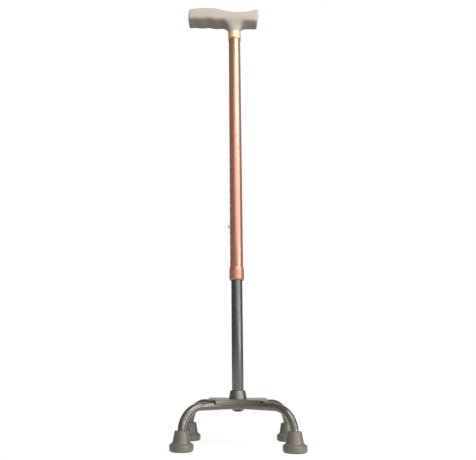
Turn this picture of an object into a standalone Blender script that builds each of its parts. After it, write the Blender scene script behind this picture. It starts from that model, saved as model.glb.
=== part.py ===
"""Quad cane: a T handle on a telescoping shaft over a four-footed base.

Metres, +Z up. The origin is on the floor, on the shaft's axis. The handle's long side
points to -X and the front pair of feet is at -Y. Left is -X and right is +X.
"""

import math

import bmesh
import bpy
from mathutils import Matrix, Vector

# Clearances
FIT = 0.0003
SLIDE_GAP = 0.0004
GLIDE_GAP = 0.0002

# Feet
FOOT_SPACING_X = 0.166
FOOT_SPACING_Y = 0.1332
FOOT_HEIGHT = 0.0288
FOOT_FLANGE_D = 0.0360
FOOT_FLANGE_HEIGHT = 0.0095
FOOT_FLARE = 0.0030
FOOT_COLLAR_D = 0.0265
FOOT_RIM_D = 0.021
FOOT_FLOOR = 0.0065
FOOT_SOLE_D = 0.032
FOOT_GROOVE_D = 0.018
FOOT_GROOVE_WIDTH = 0.003
FOOT_GROOVE_DEPTH = 0.001
FOOT_ROUND = 0.0014
FOOT_WASHER = 0.0015

# Leg tubes
LEG_D = 0.0127
LEG_WALL = 0.0012
LEG_MID_SPACING = 0.0560
LEG_BEND_R = 0.0342
LEG_BEND_Z = 0.0617
LEG_ARCH = 0.0013

# Bridge plate
PLATE_LENGTH = 0.094
PLATE_T = 0.0015
FLANGE_LENGTH = 0.068
FLANGE_DEPTH = 0.0070
FLANGE_BEND_R = 0.0022

# Hub
COLLAR_HEIGHT = 0.0125
COLLAR_ROOF = 0.0026
COLLAR_TOP_D = 0.0245
COLLAR_D = 0.0288
COLLAR_ROUND = 0.0020
SOCKET_WALL = 0.0015
SOCKET_BELOW_PLATE = 0.0105
PLUG_LENGTH = 0.026
NUT_ACROSS = 0.013
NUT_HEIGHT = 0.0065
BOLT_D = 0.008
BOLT_HEAD_D = 0.0120
BOLT_HEAD_HEIGHT = 0.0012
BOLT_PAST_NUT = 0.002
CUP_HEIGHT = 0.0060
CUP_FLAT_D = 0.0160
CUP_DOME = 0.0090

# Lower tube
LOWER_D = 0.0190
LOWER_WALL = 0.0012
LOWER_LENGTH = 0.339
CAP_HEAD = 0.006
CAP_STEM = 0.012

# Snap button
BUTTON_BELOW_TOP = 0.0385
BUTTON_D = 0.0062
BUTTON_PROUD = 0.0034
BUTTON_DOME = 0.0016
BUTTON_FLANGE_D = 0.0076
BUTTON_FLANGE_T = 0.0008
BUTTON_TAIL_D = 0.0030
BUTTON_TAIL = 0.0014
SPRING_WIDTH = 0.0080
SPRING_T = 0.0006
SPRING_ABOVE_BUTTON = 0.0060
SPRING_BELOW_BUTTON = 0.0240

# Upper tube
UPPER_WALL = 0.0012
UPPER_LENGTH = 0.4765
HOLE_PITCH = 0.01905
HOLE_COUNT = 13
HOLE_IN_USE = 3
FIRST_HOLE_UP = 0.030

# Lock nut
LOCK_HEIGHT = 0.0225
LOCK_D = 0.0252
LOCK_TOP_D = 0.0238
LOCK_FOOT_D = 0.0240
LOCK_SHOULDER = 0.0050
LOCK_CHAMFER = 0.0025
LOCK_BELOW_TUBE = 0.0085
LOCK_FLOOR = 0.0016
LOCK_MOUTH_GAP = 0.0006
LOCK_GROOVE_DEPTH = 0.0003
LOCK_GROOVE_WIDTH = 0.0010
LOCK_GROOVES_UP = (0.0092, 0.0128)
GRIP_RING_TAPER = 0.0006
GRIP_RING_SPLIT = 0.0020

# Handle
RING_HEIGHT = 0.0150
RING_WALL = 0.0009
RING_ROUND = 0.0006
HANDLE_LONG = 0.0894
HANDLE_SHORT = 0.0463
HANDLE_HEIGHT = 0.0320
HANDLE_DEPTH = 0.0340
HANDLE_ABOVE_TUBE = 0.0354
HANDLE_END_ROUND = 0.0022
HANDLE_TILT_ANGLE = math.radians(2.5)
LONG_END_ANGLE = math.radians(2.9)
SHORT_END_ANGLE = math.radians(6.5)
NECK_ROOT = 0.0200
NECK_EASE = 0.0070
NECK_TOP_WIDTH = 0.0330
NECK_TOP_DEPTH = 0.0296
NECK_TOP_SQUARENESS = 4.5
NECK_TOP_SHARE = 0.18
NECK_MID_WIDTH = 0.0268
NECK_MID_DEPTH = 0.0264
NECK_MID_SQUARENESS = 3.2
NECK_MID_SHARE = 0.50
CIRCLE_SQUARENESS = 2.0
GROOVE_PITCH = 0.0245
SPIGOT_LENGTH = 0.046
SPIGOT_BORE_D = 0.0080
SCREW_BELOW_RING = 0.015
SCREW_D = 0.0032
SCREW_LENGTH = 0.0050
SCREW_HEAD_D = 0.0064
SCREW_HEAD_T = 0.0018

# Facets
ROUND_STEPS = 32
SMALL_STEPS = 16
FOOT_STEPS = 24
TUBE_BEVEL = 5
ARC_STEPS = 7
BEND_STEPS = 7
PLATE_STEPS = 10
HANDLE_LEVELS = 1

# Size at which the empties of the joints are drawn
CARRIER_SIZE = 0.02

# Leg tubes: the plan is an arc from the middle of the base that ends pointing at the
# foot, where the tube bends down. Half the arc's turn has the tangent used here.
LEG_R = LEG_D / 2
FOOT_X = FOOT_SPACING_X / 2
FOOT_Y = FOOT_SPACING_Y / 2
LEG_MID_Y = LEG_MID_SPACING / 2
LEG_TURN = 2 * math.atan2(FOOT_Y - LEG_MID_Y, FOOT_X + LEG_BEND_R)
LEG_PLAN_R = (FOOT_X - LEG_BEND_R * math.cos(LEG_TURN)) / math.sin(LEG_TURN)
FOOT_BORE_R = LEG_R + FIT
FOOT_WASHER_Z = FOOT_FLOOR + FIT
LEG_END_Z = FOOT_WASHER_Z + FOOT_WASHER + FIT

# Heights and radii in the hub, from the plate up and down
LOWER_R = LOWER_D / 2
LOWER_BORE_R = LOWER_R - LOWER_WALL
PLATE_BOTTOM_Z = LEG_BEND_Z + LEG_ARCH + LEG_R + FIT
PLATE_TOP_Z = PLATE_BOTTOM_Z + PLATE_T
COLLAR_BOTTOM_Z = PLATE_TOP_Z + FIT
COLLAR_TOP_Z = COLLAR_BOTTOM_Z + COLLAR_HEIGHT
SOCKET_BORE_R = LOWER_R + FIT
SOCKET_R = SOCKET_BORE_R + SOCKET_WALL
SOCKET_TOP_Z = COLLAR_TOP_Z - COLLAR_ROOF - FIT
SOCKET_BOTTOM_Z = PLATE_BOTTOM_Z - SOCKET_BELOW_PLATE
CUP_TOP_Z = SOCKET_BOTTOM_Z - FIT
CUP_BOTTOM_Z = CUP_TOP_Z - CUP_HEIGHT
BOLT_HEAD_Z = CUP_BOTTOM_Z - FIT
BOLT_CLEAR_R = BOLT_D / 2 + FIT
PLUG_TOP_Z = SOCKET_BOTTOM_Z + PLUG_LENGTH
NUT_BOTTOM_Z = PLUG_TOP_Z + FIT
NUT_TOP_Z = NUT_BOTTOM_Z + NUT_HEIGHT

# Heights and radii along the shaft
LOWER_BOTTOM_Z = SOCKET_BOTTOM_Z
LOWER_TOP_Z = LOWER_BOTTOM_Z + LOWER_LENGTH
BUTTON_Z = LOWER_TOP_Z - BUTTON_BELOW_TOP
UPPER_BORE_R = LOWER_R + SLIDE_GAP
UPPER_R = UPPER_BORE_R + UPPER_WALL
UPPER_BOTTOM_Z = BUTTON_Z - HOLE_IN_USE * HOLE_PITCH - FIRST_HOLE_UP
UPPER_TOP_Z = UPPER_BOTTOM_Z + UPPER_LENGTH
LOCK_BORE_R = UPPER_R + FIT
LOCK_BOTTOM_Z = UPPER_BOTTOM_Z - LOCK_BELOW_TUBE
LOCK_TOP_Z = LOCK_BOTTOM_Z + LOCK_HEIGHT
RING_BORE_R = UPPER_R + FIT
RING_R = RING_BORE_R + RING_WALL
RING_BOTTOM_Z = UPPER_TOP_Z - RING_HEIGHT
NECK_Z = UPPER_TOP_Z + FIT
HANDLE_Z = UPPER_TOP_Z + HANDLE_ABOVE_TUBE
SPIGOT_R = UPPER_BORE_R - FIT
SCREW_Z = RING_BOTTOM_Z - SCREW_BELOW_RING
SCREW_CLEAR_R = SCREW_D / 2 + FIT


def clear_scene():
    for obj in list(bpy.data.objects):
        bpy.data.objects.remove(obj, do_unlink=True)


def new_collection(name):
    collection = bpy.data.collections.new(name)
    bpy.context.scene.collection.children.link(collection)
    return collection


clear_scene()
PARTS = new_collection("quad_cane")
CUTTERS = new_collection("cutters")


def new_material(name, colour, metallic, roughness):
    material = bpy.data.materials.new(name)
    material.use_nodes = True
    shader = material.node_tree.nodes["Principled BSDF"]
    shader.inputs["Base Color"].default_value = (*colour, 1.0)
    shader.inputs["Metallic"].default_value = metallic
    shader.inputs["Roughness"].default_value = roughness
    material.diffuse_color = (*colour, 1.0)
    return material


HANDLE_PLASTIC = new_material("handle_plastic", (0.56, 0.49, 0.43), 0.0, 0.5)
GOLD = new_material("gold_plate", (0.80, 0.58, 0.24), 1.0, 0.2)
COPPER = new_material("copper_anodised", (0.62, 0.27, 0.16), 0.9, 0.3)
GUNMETAL = new_material("gunmetal_anodised", (0.12, 0.12, 0.12), 0.8, 0.35)
GREY_PAINT = new_material("grey_paint", (0.16, 0.15, 0.14), 0.4, 0.35)
RUBBER = new_material("grey_rubber", (0.19, 0.18, 0.16), 0.0, 0.6)
STEEL = new_material("zinc_steel", (0.65, 0.65, 0.66), 1.0, 0.3)
SPRING_STEEL = new_material("spring_steel", (0.40, 0.41, 0.43), 1.0, 0.25)
NYLON = new_material("nylon", (0.75, 0.74, 0.70), 0.0, 0.45)


def carrier(name, height=0.0, parent=None):
    """An empty on a joint's axis, which carries the pieces that move on it."""
    holder = bpy.data.objects.new(name, None)
    holder.empty_display_size = CARRIER_SIZE
    PARTS.objects.link(holder)
    return place(holder, (0.0, 0.0, height), parent)


def place(obj, at=(0.0, 0.0, 0.0), parent=None):
    """Puts an object at a point of the model, on the empty that carries it."""
    obj.location = at
    if parent:
        obj.parent = parent
        base = parent
        while base:
            obj.location -= base.location
            base = base.parent
    return obj


def piece(obj, material, at=(0.0, 0.0, 0.0), parent=None):
    """Adds a finished piece to the model."""
    PARTS.objects.link(obj)
    obj.data.materials.append(material)
    return place(obj, at, parent)


def cutter(obj):
    CUTTERS.objects.link(obj)
    obj.hide_render = True
    obj.display_type = "WIRE"
    return obj


def boolean(target, other, operation):
    modifier = target.modifiers.new(operation.title(), "BOOLEAN")
    modifier.operation = operation
    modifier.object = other
    modifier.solver = "EXACT"


def rounded(points, radius, steps=2):
    """The profile with its corners rounded. A corner given as (r, z, 0) stays sharp."""
    count = len(points)
    result = []
    for i, point in enumerate(points):
        corner = Vector(point[:2])
        before = Vector(points[i - 1][:2]) - corner
        after = Vector(points[(i + 1) % count][:2]) - corner
        at_axis = point[0] < 1e-9
        if len(point) == 3 or at_axis:
            result.append(tuple(corner))
            continue
        half = before.angle(after) / 2
        reach = min(radius / math.tan(half), 0.4 * before.length, 0.4 * after.length)
        start = corner + before.normalized() * reach
        end = corner + after.normalized() * reach
        for k in range(steps + 1):
            share = k / steps
            first = start.lerp(corner, share)
            last = corner.lerp(end, share)
            result.append(tuple(first.lerp(last, share)))
    return result


def turned(name, profile, closed=False, steps=ROUND_STEPS):
    """Turns a profile of (radius, height) points about Z.

    The profile runs down the outer side. A closed one makes a ring, and an open one
    starts and ends on the axis.
    """
    mesh = bpy.data.meshes.new(name)
    edges = [(i, i + 1) for i in range(len(profile) - 1)]
    if closed:
        edges.append((len(profile) - 1, 0))
    mesh.from_pydata([(point[0], 0.0, point[1]) for point in profile], edges, [])
    obj = bpy.data.objects.new(name, mesh)
    screw = obj.modifiers.new("Turn", "SCREW")
    screw.axis = "Z"
    screw.angle = math.tau
    screw.steps = steps
    screw.render_steps = steps
    screw.use_merge_vertices = True
    screw.merge_threshold = 0.00001
    screw.use_smooth_shade = True
    return obj


def ring_profile(bore, outer, bottom, top):
    return [(outer, top), (outer, bottom), (bore, bottom), (bore, top)]


def disc_profile(outer, bottom, top):
    return [(0.0, top), (outer, top), (outer, bottom), (0.0, bottom)]


AXIS_TURN = {
    "X": Matrix.Rotation(math.pi / 2, 4, "Y"),
    "Y": Matrix.Rotation(math.pi / 2, 4, "X"),
    "Z": Matrix.Identity(4),
}


def round_cutter(name, radius, length, centres, axis="Z", sides=SMALL_STEPS):
    """Cylinders along one axis, one at each centre, that cut round holes."""
    mesh = bpy.data.meshes.new(name)
    bm = bmesh.new()
    for centre in centres:
        made = bmesh.ops.create_cone(
            bm, cap_ends=True, segments=sides, radius1=radius, radius2=radius, depth=length
        )
        turn = Matrix.Translation(centre) @ AXIS_TURN[axis]
        bmesh.ops.transform(bm, matrix=turn, verts=made["verts"])
    bm.to_mesh(mesh)
    bm.free()
    return cutter(bpy.data.objects.new(name, mesh))


def box_cutter(name, boxes):
    """Boxes, each given by its lowest and highest corners, in one cutter."""
    mesh = bpy.data.meshes.new(name)
    bm = bmesh.new()
    for low, high in boxes:
        made = bmesh.ops.create_cube(bm, size=1.0)
        size = Vector(high) - Vector(low)
        centre = (Vector(high) + Vector(low)) / 2
        fit = Matrix.Translation(centre) @ Matrix.Diagonal((*size, 1.0))
        bmesh.ops.transform(bm, matrix=fit, verts=made["verts"])
    bm.to_mesh(mesh)
    bm.free()
    return cutter(bpy.data.objects.new(name, mesh))


def bent_sheet(name, rows, thickness):
    """A bent sheet. Its middle surface is given as rows of points."""
    count = len(rows[0])
    faces = [
        (first + i, first + i + 1, first + count + i + 1, first + count + i)
        for first in range(0, (len(rows) - 1) * count, count)
        for i in range(count - 1)
    ]
    mesh = bpy.data.meshes.new(name)
    mesh.from_pydata([point for row in rows for point in row], [], faces)
    obj = bpy.data.objects.new(name, mesh)
    solidify = obj.modifiers.new("Thickness", "SOLIDIFY")
    solidify.thickness = thickness
    solidify.offset = 0.0
    solidify.use_even_offset = True
    return obj


def arc(centre, radius, start, end, steps):
    """Points of an arc between two angles in degrees."""
    angles = [math.radians(start + (end - start) * k / steps) for k in range(steps + 1)]
    return [(centre[0] + radius * math.cos(a), centre[1] + radius * math.sin(a)) for a in angles]


# Base

def make_foot(end, side, at):
    """A rubber foot, and the washer inside it that the leg tube stands on."""
    flange = FOOT_FLANGE_D / 2
    sole = FOOT_SOLE_D / 2
    groove_in = (FOOT_GROOVE_D - FOOT_GROOVE_WIDTH) / 2
    groove_out = (FOOT_GROOVE_D + FOOT_GROOVE_WIDTH) / 2
    profile = [
        (0.0, FOOT_FLOOR),
        (FOOT_BORE_R, FOOT_FLOOR, 0),
        (FOOT_BORE_R, FOOT_HEIGHT, 0),
        (FOOT_RIM_D / 2, FOOT_HEIGHT),
        (FOOT_COLLAR_D / 2, FOOT_FLANGE_HEIGHT + FOOT_FLARE),
        (flange, FOOT_FLANGE_HEIGHT),
        (flange, flange - sole, 0),
        (sole, 0.0, 0),
        (groove_out, 0.0, 0),
        (groove_out, FOOT_GROOVE_DEPTH, 0),
        (groove_in, FOOT_GROOVE_DEPTH, 0),
        (groove_in, 0.0, 0),
        (0.0, 0.0),
    ]
    foot = turned(f"foot_{end}_{side}", rounded(profile, FOOT_ROUND), steps=FOOT_STEPS)
    piece(foot, RUBBER, at)
    disc = disc_profile(LEG_R, FOOT_WASHER_Z, FOOT_WASHER_Z + FOOT_WASHER)
    piece(turned(f"foot_washer_{end}_{side}", disc, steps=SMALL_STEPS), STEEL, at)


def leg_half():
    """Centre line of half a leg tube, from the middle of the base to the foot."""
    points = []
    for k in range(ARC_STEPS + 1):
        share = k / ARC_STEPS
        turn = LEG_TURN * share
        x = LEG_PLAN_R * math.sin(turn)
        y = LEG_MID_Y + LEG_PLAN_R * (1 - math.cos(turn))
        z = LEG_BEND_Z + LEG_ARCH * (1 + math.cos(math.pi * share)) / 2
        points.append((x, y, z))
    bend_x, bend_y = points[-1][:2]
    for k in range(1, BEND_STEPS + 1):
        down = math.pi / 2 * k / BEND_STEPS
        out = LEG_BEND_R * math.sin(down)
        x = bend_x + out * math.cos(LEG_TURN)
        y = bend_y + out * math.sin(LEG_TURN)
        points.append((x, y, LEG_BEND_Z - LEG_BEND_R * (1 - math.cos(down))))
    points.append((FOOT_X, FOOT_Y, LEG_END_Z))
    return points


def make_leg_tube(name, facing):
    """One bent tube with two legs. facing is -1 for the front and 1 for the rear."""
    right = leg_half()
    left = [(-x, y, z) for x, y, z in reversed(right[1:])]
    path = [(x, facing * y, z) for x, y, z in left + right]
    curve = bpy.data.curves.new(name, "CURVE")
    curve.dimensions = "3D"
    curve.bevel_depth = LEG_R
    curve.bevel_resolution = TUBE_BEVEL
    spline = curve.splines.new("POLY")
    spline.points.add(len(path) - 1)
    for point, at in zip(spline.points, path):
        point.co = (*at, 1.0)
    guide = bpy.data.objects.new(name + "_guide", curve)
    PARTS.objects.link(guide)
    bpy.context.view_layer.update()
    graph = bpy.context.evaluated_depsgraph_get()
    mesh = bpy.data.meshes.new_from_object(guide.evaluated_get(graph))
    bpy.data.objects.remove(guide, do_unlink=True)
    mesh.name = name
    tube = bpy.data.objects.new(name, mesh)
    solidify = tube.modifiers.new("Wall", "SOLIDIFY")
    solidify.thickness = LEG_WALL
    solidify.offset = -1.0
    return piece(tube, GREY_PAINT)


def leg_outer_y(x):
    """How far from the middle of the base the outside of a leg tube is, at x."""
    turn = math.asin(min(x / LEG_PLAN_R, math.sin(LEG_TURN)))
    return LEG_MID_Y + LEG_PLAN_R * (1 - math.cos(turn)) + LEG_R / math.cos(turn)


def flange_inner_y(x):
    """How far from the middle of the base the inside of a folded edge is, at x."""
    return leg_outer_y(min(abs(x), FLANGE_LENGTH / 2)) + FIT


def plate_line(x):
    """The middle line of the folded plate at x. Its folded edges follow the tubes."""
    bend_y = flange_inner_y(x) - FLANGE_BEND_R
    bend_mid = FLANGE_BEND_R + PLATE_T / 2
    right = arc((bend_y, PLATE_BOTTOM_Z - FLANGE_BEND_R), bend_mid, 90, 0, 4)
    right.append((bend_y + bend_mid, PLATE_TOP_Z - FLANGE_DEPTH))
    left = [(-y, z) for y, z in reversed(right)]
    return [(x, y, z) for y, z in left + right]


def make_bridge_plate():
    """A folded plate over both leg tubes, with a hole for the socket."""
    start = FLANGE_LENGTH / 2
    end = PLATE_LENGTH / 2
    places = [start * (2 * k / PLATE_STEPS - 1) for k in range(PLATE_STEPS + 1)]
    rows = [plate_line(x) for x in (-end, *places, end)]
    plate = piece(bent_sheet("bridge_plate", rows, PLATE_T), GREY_PAINT)

    # The folded edges are shorter than the plate, so its four corners are cut back.
    inside = flange_inner_y(start) - FLANGE_BEND_R
    outside = inside + FLANGE_BEND_R + 4 * PLATE_T
    past = end + PLATE_T
    low = PLATE_TOP_Z - FLANGE_DEPTH - PLATE_T
    high = PLATE_TOP_Z + PLATE_T
    corners = [
        (
            (min(sx * start, sx * past), min(sy * inside, sy * outside), low),
            (max(sx * start, sx * past), max(sy * inside, sy * outside), high),
        )
        for sx in (-1, 1)
        for sy in (-1, 1)
    ]
    boolean(plate, box_cutter("plate_corners", corners), "DIFFERENCE")
    middle = (0.0, 0.0, PLATE_TOP_Z)
    hole = round_cutter("plate_hole", SOCKET_R + FIT, 8 * PLATE_T, [middle], sides=ROUND_STEPS)
    boolean(plate, hole, "DIFFERENCE")
    return plate


def make_hub():
    """The socket, the collar that hides it, and what bolts the lower tube down."""
    socket = ring_profile(SOCKET_BORE_R, SOCKET_R, SOCKET_BOTTOM_Z, SOCKET_TOP_Z)
    piece(turned("hub_socket", socket, closed=True), STEEL)

    around_socket = SOCKET_R + FIT
    collar = [
        (COLLAR_TOP_D / 2, COLLAR_TOP_Z),
        (COLLAR_D / 2, COLLAR_BOTTOM_Z, 0),
        (around_socket, COLLAR_BOTTOM_Z, 0),
        (around_socket, COLLAR_TOP_Z - COLLAR_ROOF, 0),
        (SOCKET_BORE_R, COLLAR_TOP_Z - COLLAR_ROOF, 0),
        (SOCKET_BORE_R, COLLAR_TOP_Z, 0),
    ]
    piece(turned("hub_collar", rounded(collar, COLLAR_ROUND, 3), closed=True), GUNMETAL)

    cup = [
        (SOCKET_R, CUP_TOP_Z, 0),
        (SOCKET_R, CUP_BOTTOM_Z),
        (CUP_FLAT_D / 2, CUP_BOTTOM_Z, 0),
        (BOLT_CLEAR_R, CUP_BOTTOM_Z, 0),
        (BOLT_CLEAR_R, CUP_TOP_Z, 0),
    ]
    piece(turned("base_washer", rounded(cup, CUP_DOME, 4), closed=True), STEEL)

    head_bottom = BOLT_HEAD_Z - BOLT_HEAD_HEIGHT
    bolt = [
        (0.0, NUT_TOP_Z + BOLT_PAST_NUT),
        (BOLT_D / 2, NUT_TOP_Z + BOLT_PAST_NUT, 0),
        (BOLT_D / 2, BOLT_HEAD_Z, 0),
        (BOLT_HEAD_D / 2, BOLT_HEAD_Z, 0),
        (BOLT_HEAD_D / 2, head_bottom),
        (0.0, head_bottom),
    ]
    piece(turned("base_bolt", rounded(bolt, BOLT_HEAD_HEIGHT / 2), steps=FOOT_STEPS), STEEL)

    plug = ring_profile(BOLT_CLEAR_R, LOWER_BORE_R - FIT, LOWER_BOTTOM_Z, PLUG_TOP_Z)
    piece(turned("tube_plug", plug, closed=True), NYLON)

    hexagon = NUT_ACROSS / 2 / math.cos(math.pi / 6)
    nut = turned("plug_nut", disc_profile(hexagon, NUT_BOTTOM_Z, NUT_TOP_Z), steps=6)
    middle = (0.0, 0.0, (NUT_BOTTOM_Z + NUT_TOP_Z) / 2)
    bore = round_cutter("nut_bore", BOLT_CLEAR_R, 2 * NUT_HEIGHT, [middle])
    boolean(nut, bore, "DIFFERENCE")
    piece(nut, STEEL)


# Lower tube and snap button

def make_lower_tube():
    wall = ring_profile(LOWER_BORE_R, LOWER_R, LOWER_BOTTOM_Z, LOWER_TOP_Z)
    tube = turned("lower_tube", wall, closed=True)
    at = [(-LOWER_R, 0.0, BUTTON_Z)]
    hole = round_cutter("button_hole", BUTTON_D / 2 + FIT, LOWER_R, at, "X")
    boolean(tube, hole, "DIFFERENCE")
    piece(tube, GUNMETAL)

    head_r = UPPER_BORE_R - GLIDE_GAP
    stem_r = LOWER_BORE_R - FIT
    head_z = LOWER_TOP_Z + FIT
    cap = [
        (0.0, head_z + CAP_HEAD),
        (head_r, head_z + CAP_HEAD),
        (head_r, head_z, 0),
        (stem_r, head_z, 0),
        (stem_r, LOWER_TOP_Z - CAP_STEM, 0),
        (0.0, LOWER_TOP_Z - CAP_STEM),
    ]
    piece(turned("glide_cap", rounded(cap, CAP_HEAD / 6)), NYLON)


def wall_depth(half_width):
    """How far out a flat piece of this half width reaches inside the lower tube."""
    return math.sqrt(LOWER_BORE_R**2 - half_width**2) - FIT


def make_button(slider):
    """The button points to -X: its profile's height is its distance from the axis."""
    tip = UPPER_R + BUTTON_PROUD
    flange_top = wall_depth(BUTTON_FLANGE_D / 2)
    flange_bottom = flange_top - BUTTON_FLANGE_T
    shank = BUTTON_D / 2
    dome = [
        (shank * math.sin(a), tip - BUTTON_DOME * (1 - math.cos(a)))
        for a in (math.pi / 2 * k / 4 for k in range(5))
    ]
    profile = dome + [
        (shank, flange_top),
        (BUTTON_FLANGE_D / 2, flange_top),
        (BUTTON_FLANGE_D / 2, flange_bottom),
        (BUTTON_TAIL_D / 2, flange_bottom),
        (BUTTON_TAIL_D / 2, flange_bottom - BUTTON_TAIL),
        (0.0, flange_bottom - BUTTON_TAIL),
    ]
    button = turned("snap_button", profile, steps=SMALL_STEPS)
    button.rotation_euler = (0.0, -math.pi / 2, 0.0)
    piece(button, STEEL, (0.0, 0.0, BUTTON_Z), slider)

    near_x = -(flange_bottom - FIT - SPRING_T / 2)
    far_x = wall_depth(SPRING_WIDTH / 2) - SPRING_T / 2
    bend_r = (far_x - near_x) / 2
    top = BUTTON_Z + SPRING_ABOVE_BUTTON
    bend_z = BUTTON_Z - SPRING_BELOW_BUTTON
    line = [(near_x, top)]
    line += arc(((near_x + far_x) / 2, bend_z), bend_r, 180, 360, 10)
    line += [(far_x, top)]
    rows = [[(x, side * SPRING_WIDTH / 2, z) for x, z in line] for side in (-1, 1)]
    spring = bent_sheet("button_spring", rows, SPRING_T)
    eye = [(near_x, 0.0, BUTTON_Z)]
    cut = round_cutter("spring_eye", BUTTON_TAIL_D / 2 + FIT, 6 * SPRING_T, eye, "X")
    boolean(spring, cut, "DIFFERENCE")
    piece(spring, SPRING_STEEL)


# Upper tube and lock nut

def make_upper_tube(shaft):
    wall = ring_profile(UPPER_BORE_R, UPPER_R, UPPER_BOTTOM_Z, UPPER_TOP_Z)
    tube = turned("upper_tube", wall, closed=True)
    first = UPPER_BOTTOM_Z + FIRST_HOLE_UP
    row = [(-UPPER_R, 0.0, first + k * HOLE_PITCH) for k in range(HOLE_COUNT)]
    holes = round_cutter("height_holes", BUTTON_D / 2 + FIT, UPPER_R, row, "X")
    boolean(tube, holes, "DIFFERENCE")
    at = [(0.0, UPPER_R, SCREW_Z)]
    screw_hole = round_cutter("tube_screw_hole", SCREW_CLEAR_R, UPPER_R, at, "Y")
    boolean(tube, screw_hole, "DIFFERENCE")
    piece(tube, COPPER, parent=shaft)


def make_lock(travel, turn):
    """The ring nut, and the split ring that it squeezes on the lower tube."""
    ring_bottom = LOCK_BOTTOM_Z + LOCK_FLOOR + FIT
    ring_top = UPPER_BOTTOM_Z - FIT
    ring_top_r = LOCK_BORE_R - FIT
    ring_foot_r = ring_top_r - GRIP_RING_TAPER
    grip = [
        (ring_top_r, ring_top),
        (ring_foot_r, ring_bottom),
        (LOWER_R + FIT, ring_bottom),
        (LOWER_R + FIT, ring_top),
    ]
    ring = turned("grip_ring", grip, closed=True)
    half = GRIP_RING_SPLIT / 2
    low = (-half, LOWER_BORE_R, ring_bottom - FIT)
    high = (half, LOCK_D / 2, ring_top + FIT)
    boolean(ring, box_cutter("ring_split", [(low, high)]), "DIFFERENCE")
    piece(ring, NYLON, parent=travel)

    mouth = LOWER_R + LOCK_MOUTH_GAP
    body = LOCK_D / 2
    outside = [(LOCK_BORE_R, LOCK_TOP_Z, 0), (LOCK_TOP_D / 2, LOCK_TOP_Z)]
    outside.append((body, LOCK_TOP_Z - LOCK_SHOULDER, 0))
    for up in sorted(LOCK_GROOVES_UP, reverse=True):
        z = LOCK_BOTTOM_Z + up
        outside.append((body, z + LOCK_GROOVE_WIDTH / 2, 0))
        outside.append((body - LOCK_GROOVE_DEPTH, z, 0))
        outside.append((body, z - LOCK_GROOVE_WIDTH / 2, 0))
    outside.append((body, LOCK_BOTTOM_Z + LOCK_CHAMFER, 0))
    outside.append((LOCK_FOOT_D / 2, LOCK_BOTTOM_Z, 0))
    inside = [
        (mouth, LOCK_BOTTOM_Z, 0),
        (mouth, LOCK_BOTTOM_Z + LOCK_FLOOR, 0),
        (ring_foot_r + FIT, LOCK_BOTTOM_Z + LOCK_FLOOR, 0),
        (LOCK_BORE_R, ring_top, 0),
    ]
    nut = turned("lock_nut", rounded(outside + inside, LOCK_SHOULDER / 3), closed=True)
    piece(nut, COPPER, parent=turn)


# Handle

# The grip's section, as shares of its half depth and half height, from the rear side
# over the round top to the front side and back along the flatter underside.
SECTION = (
    (1.00, 0.00),
    (0.98, 0.55),
    (0.62, 0.96),
    (0.00, 1.02),
    (-0.62, 0.96),
    (-0.98, 0.55),
    (-1.00, 0.00),
    (-1.02, -0.745),
    (-0.84, -1.02),
    (0.00, -1.00),
    (0.84, -1.02),
    (1.02, -0.745),
)
NECK_FIRST = 7
NECK_LAST = 11


def handle_stations():
    """Sections along the grip: x, then its top, underside and half depth as shares.

    Each groove is a finger's width from the next, and the subdivision evens out about
    a quarter of what is given here.
    """
    ridge = -NECK_ROOT - GROOVE_PITCH * 0.75
    grooves = (ridge - 1.5 * GROOVE_PITCH, ridge - 0.5 * GROOVE_PITCH)
    arm = HANDLE_SHORT - NECK_ROOT
    return (
        (-HANDLE_LONG, 0.68, 0.84, 0.90),
        (-HANDLE_LONG + HANDLE_END_ROUND, 0.80, 0.95, 1.00),
        (grooves[0], 0.96, 0.82, 1.00),
        (ridge - GROOVE_PITCH, 1.04, 0.99, 1.02),
        (grooves[1], 1.04, 0.76, 1.03),
        (ridge, 1.04, 1.05, 1.02),
        (-NECK_ROOT - NECK_EASE, 0.84, 0.96, 1.00),
        (-NECK_ROOT, 0.64, 1.00, 0.98),
        (0.0, 0.27, 1.02, 0.96),
        (NECK_ROOT, 0.37, 1.04, 0.95),
        (NECK_ROOT + 0.35 * arm, 0.53, 1.06, 0.93),
        (NECK_ROOT + 0.70 * arm, 0.77, 1.08, 0.92),
        (HANDLE_SHORT - HANDLE_END_ROUND, 0.98, 1.08, 0.91),
        (HANDLE_SHORT, 0.91, 0.96, 0.80),
    )


def neck_outline(width, depth, squareness, z):
    """Twelve points round the neck, from its left side along the front.

    A squareness of 2 is a circle, and a greater one is nearer to a rectangle.
    """
    power = 2 / squareness
    points = []
    for k in range(12):
        angle = math.pi + math.tau * k / 12
        across = math.copysign(abs(math.cos(angle)) ** power, math.cos(angle))
        back = math.copysign(abs(math.sin(angle)) ** power, math.sin(angle))
        points.append((width / 2 * across, depth / 2 * back, z))
    return points


def end_lean(x):
    """How far the grip moves along for each height, which leans its two ends."""
    if x > HANDLE_SHORT - 2 * HANDLE_END_ROUND:
        return math.tan(SHORT_END_ANGLE)
    if x < 2 * HANDLE_END_ROUND - HANDLE_LONG:
        return math.tan(LONG_END_ANGLE)
    return 0.0


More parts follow.
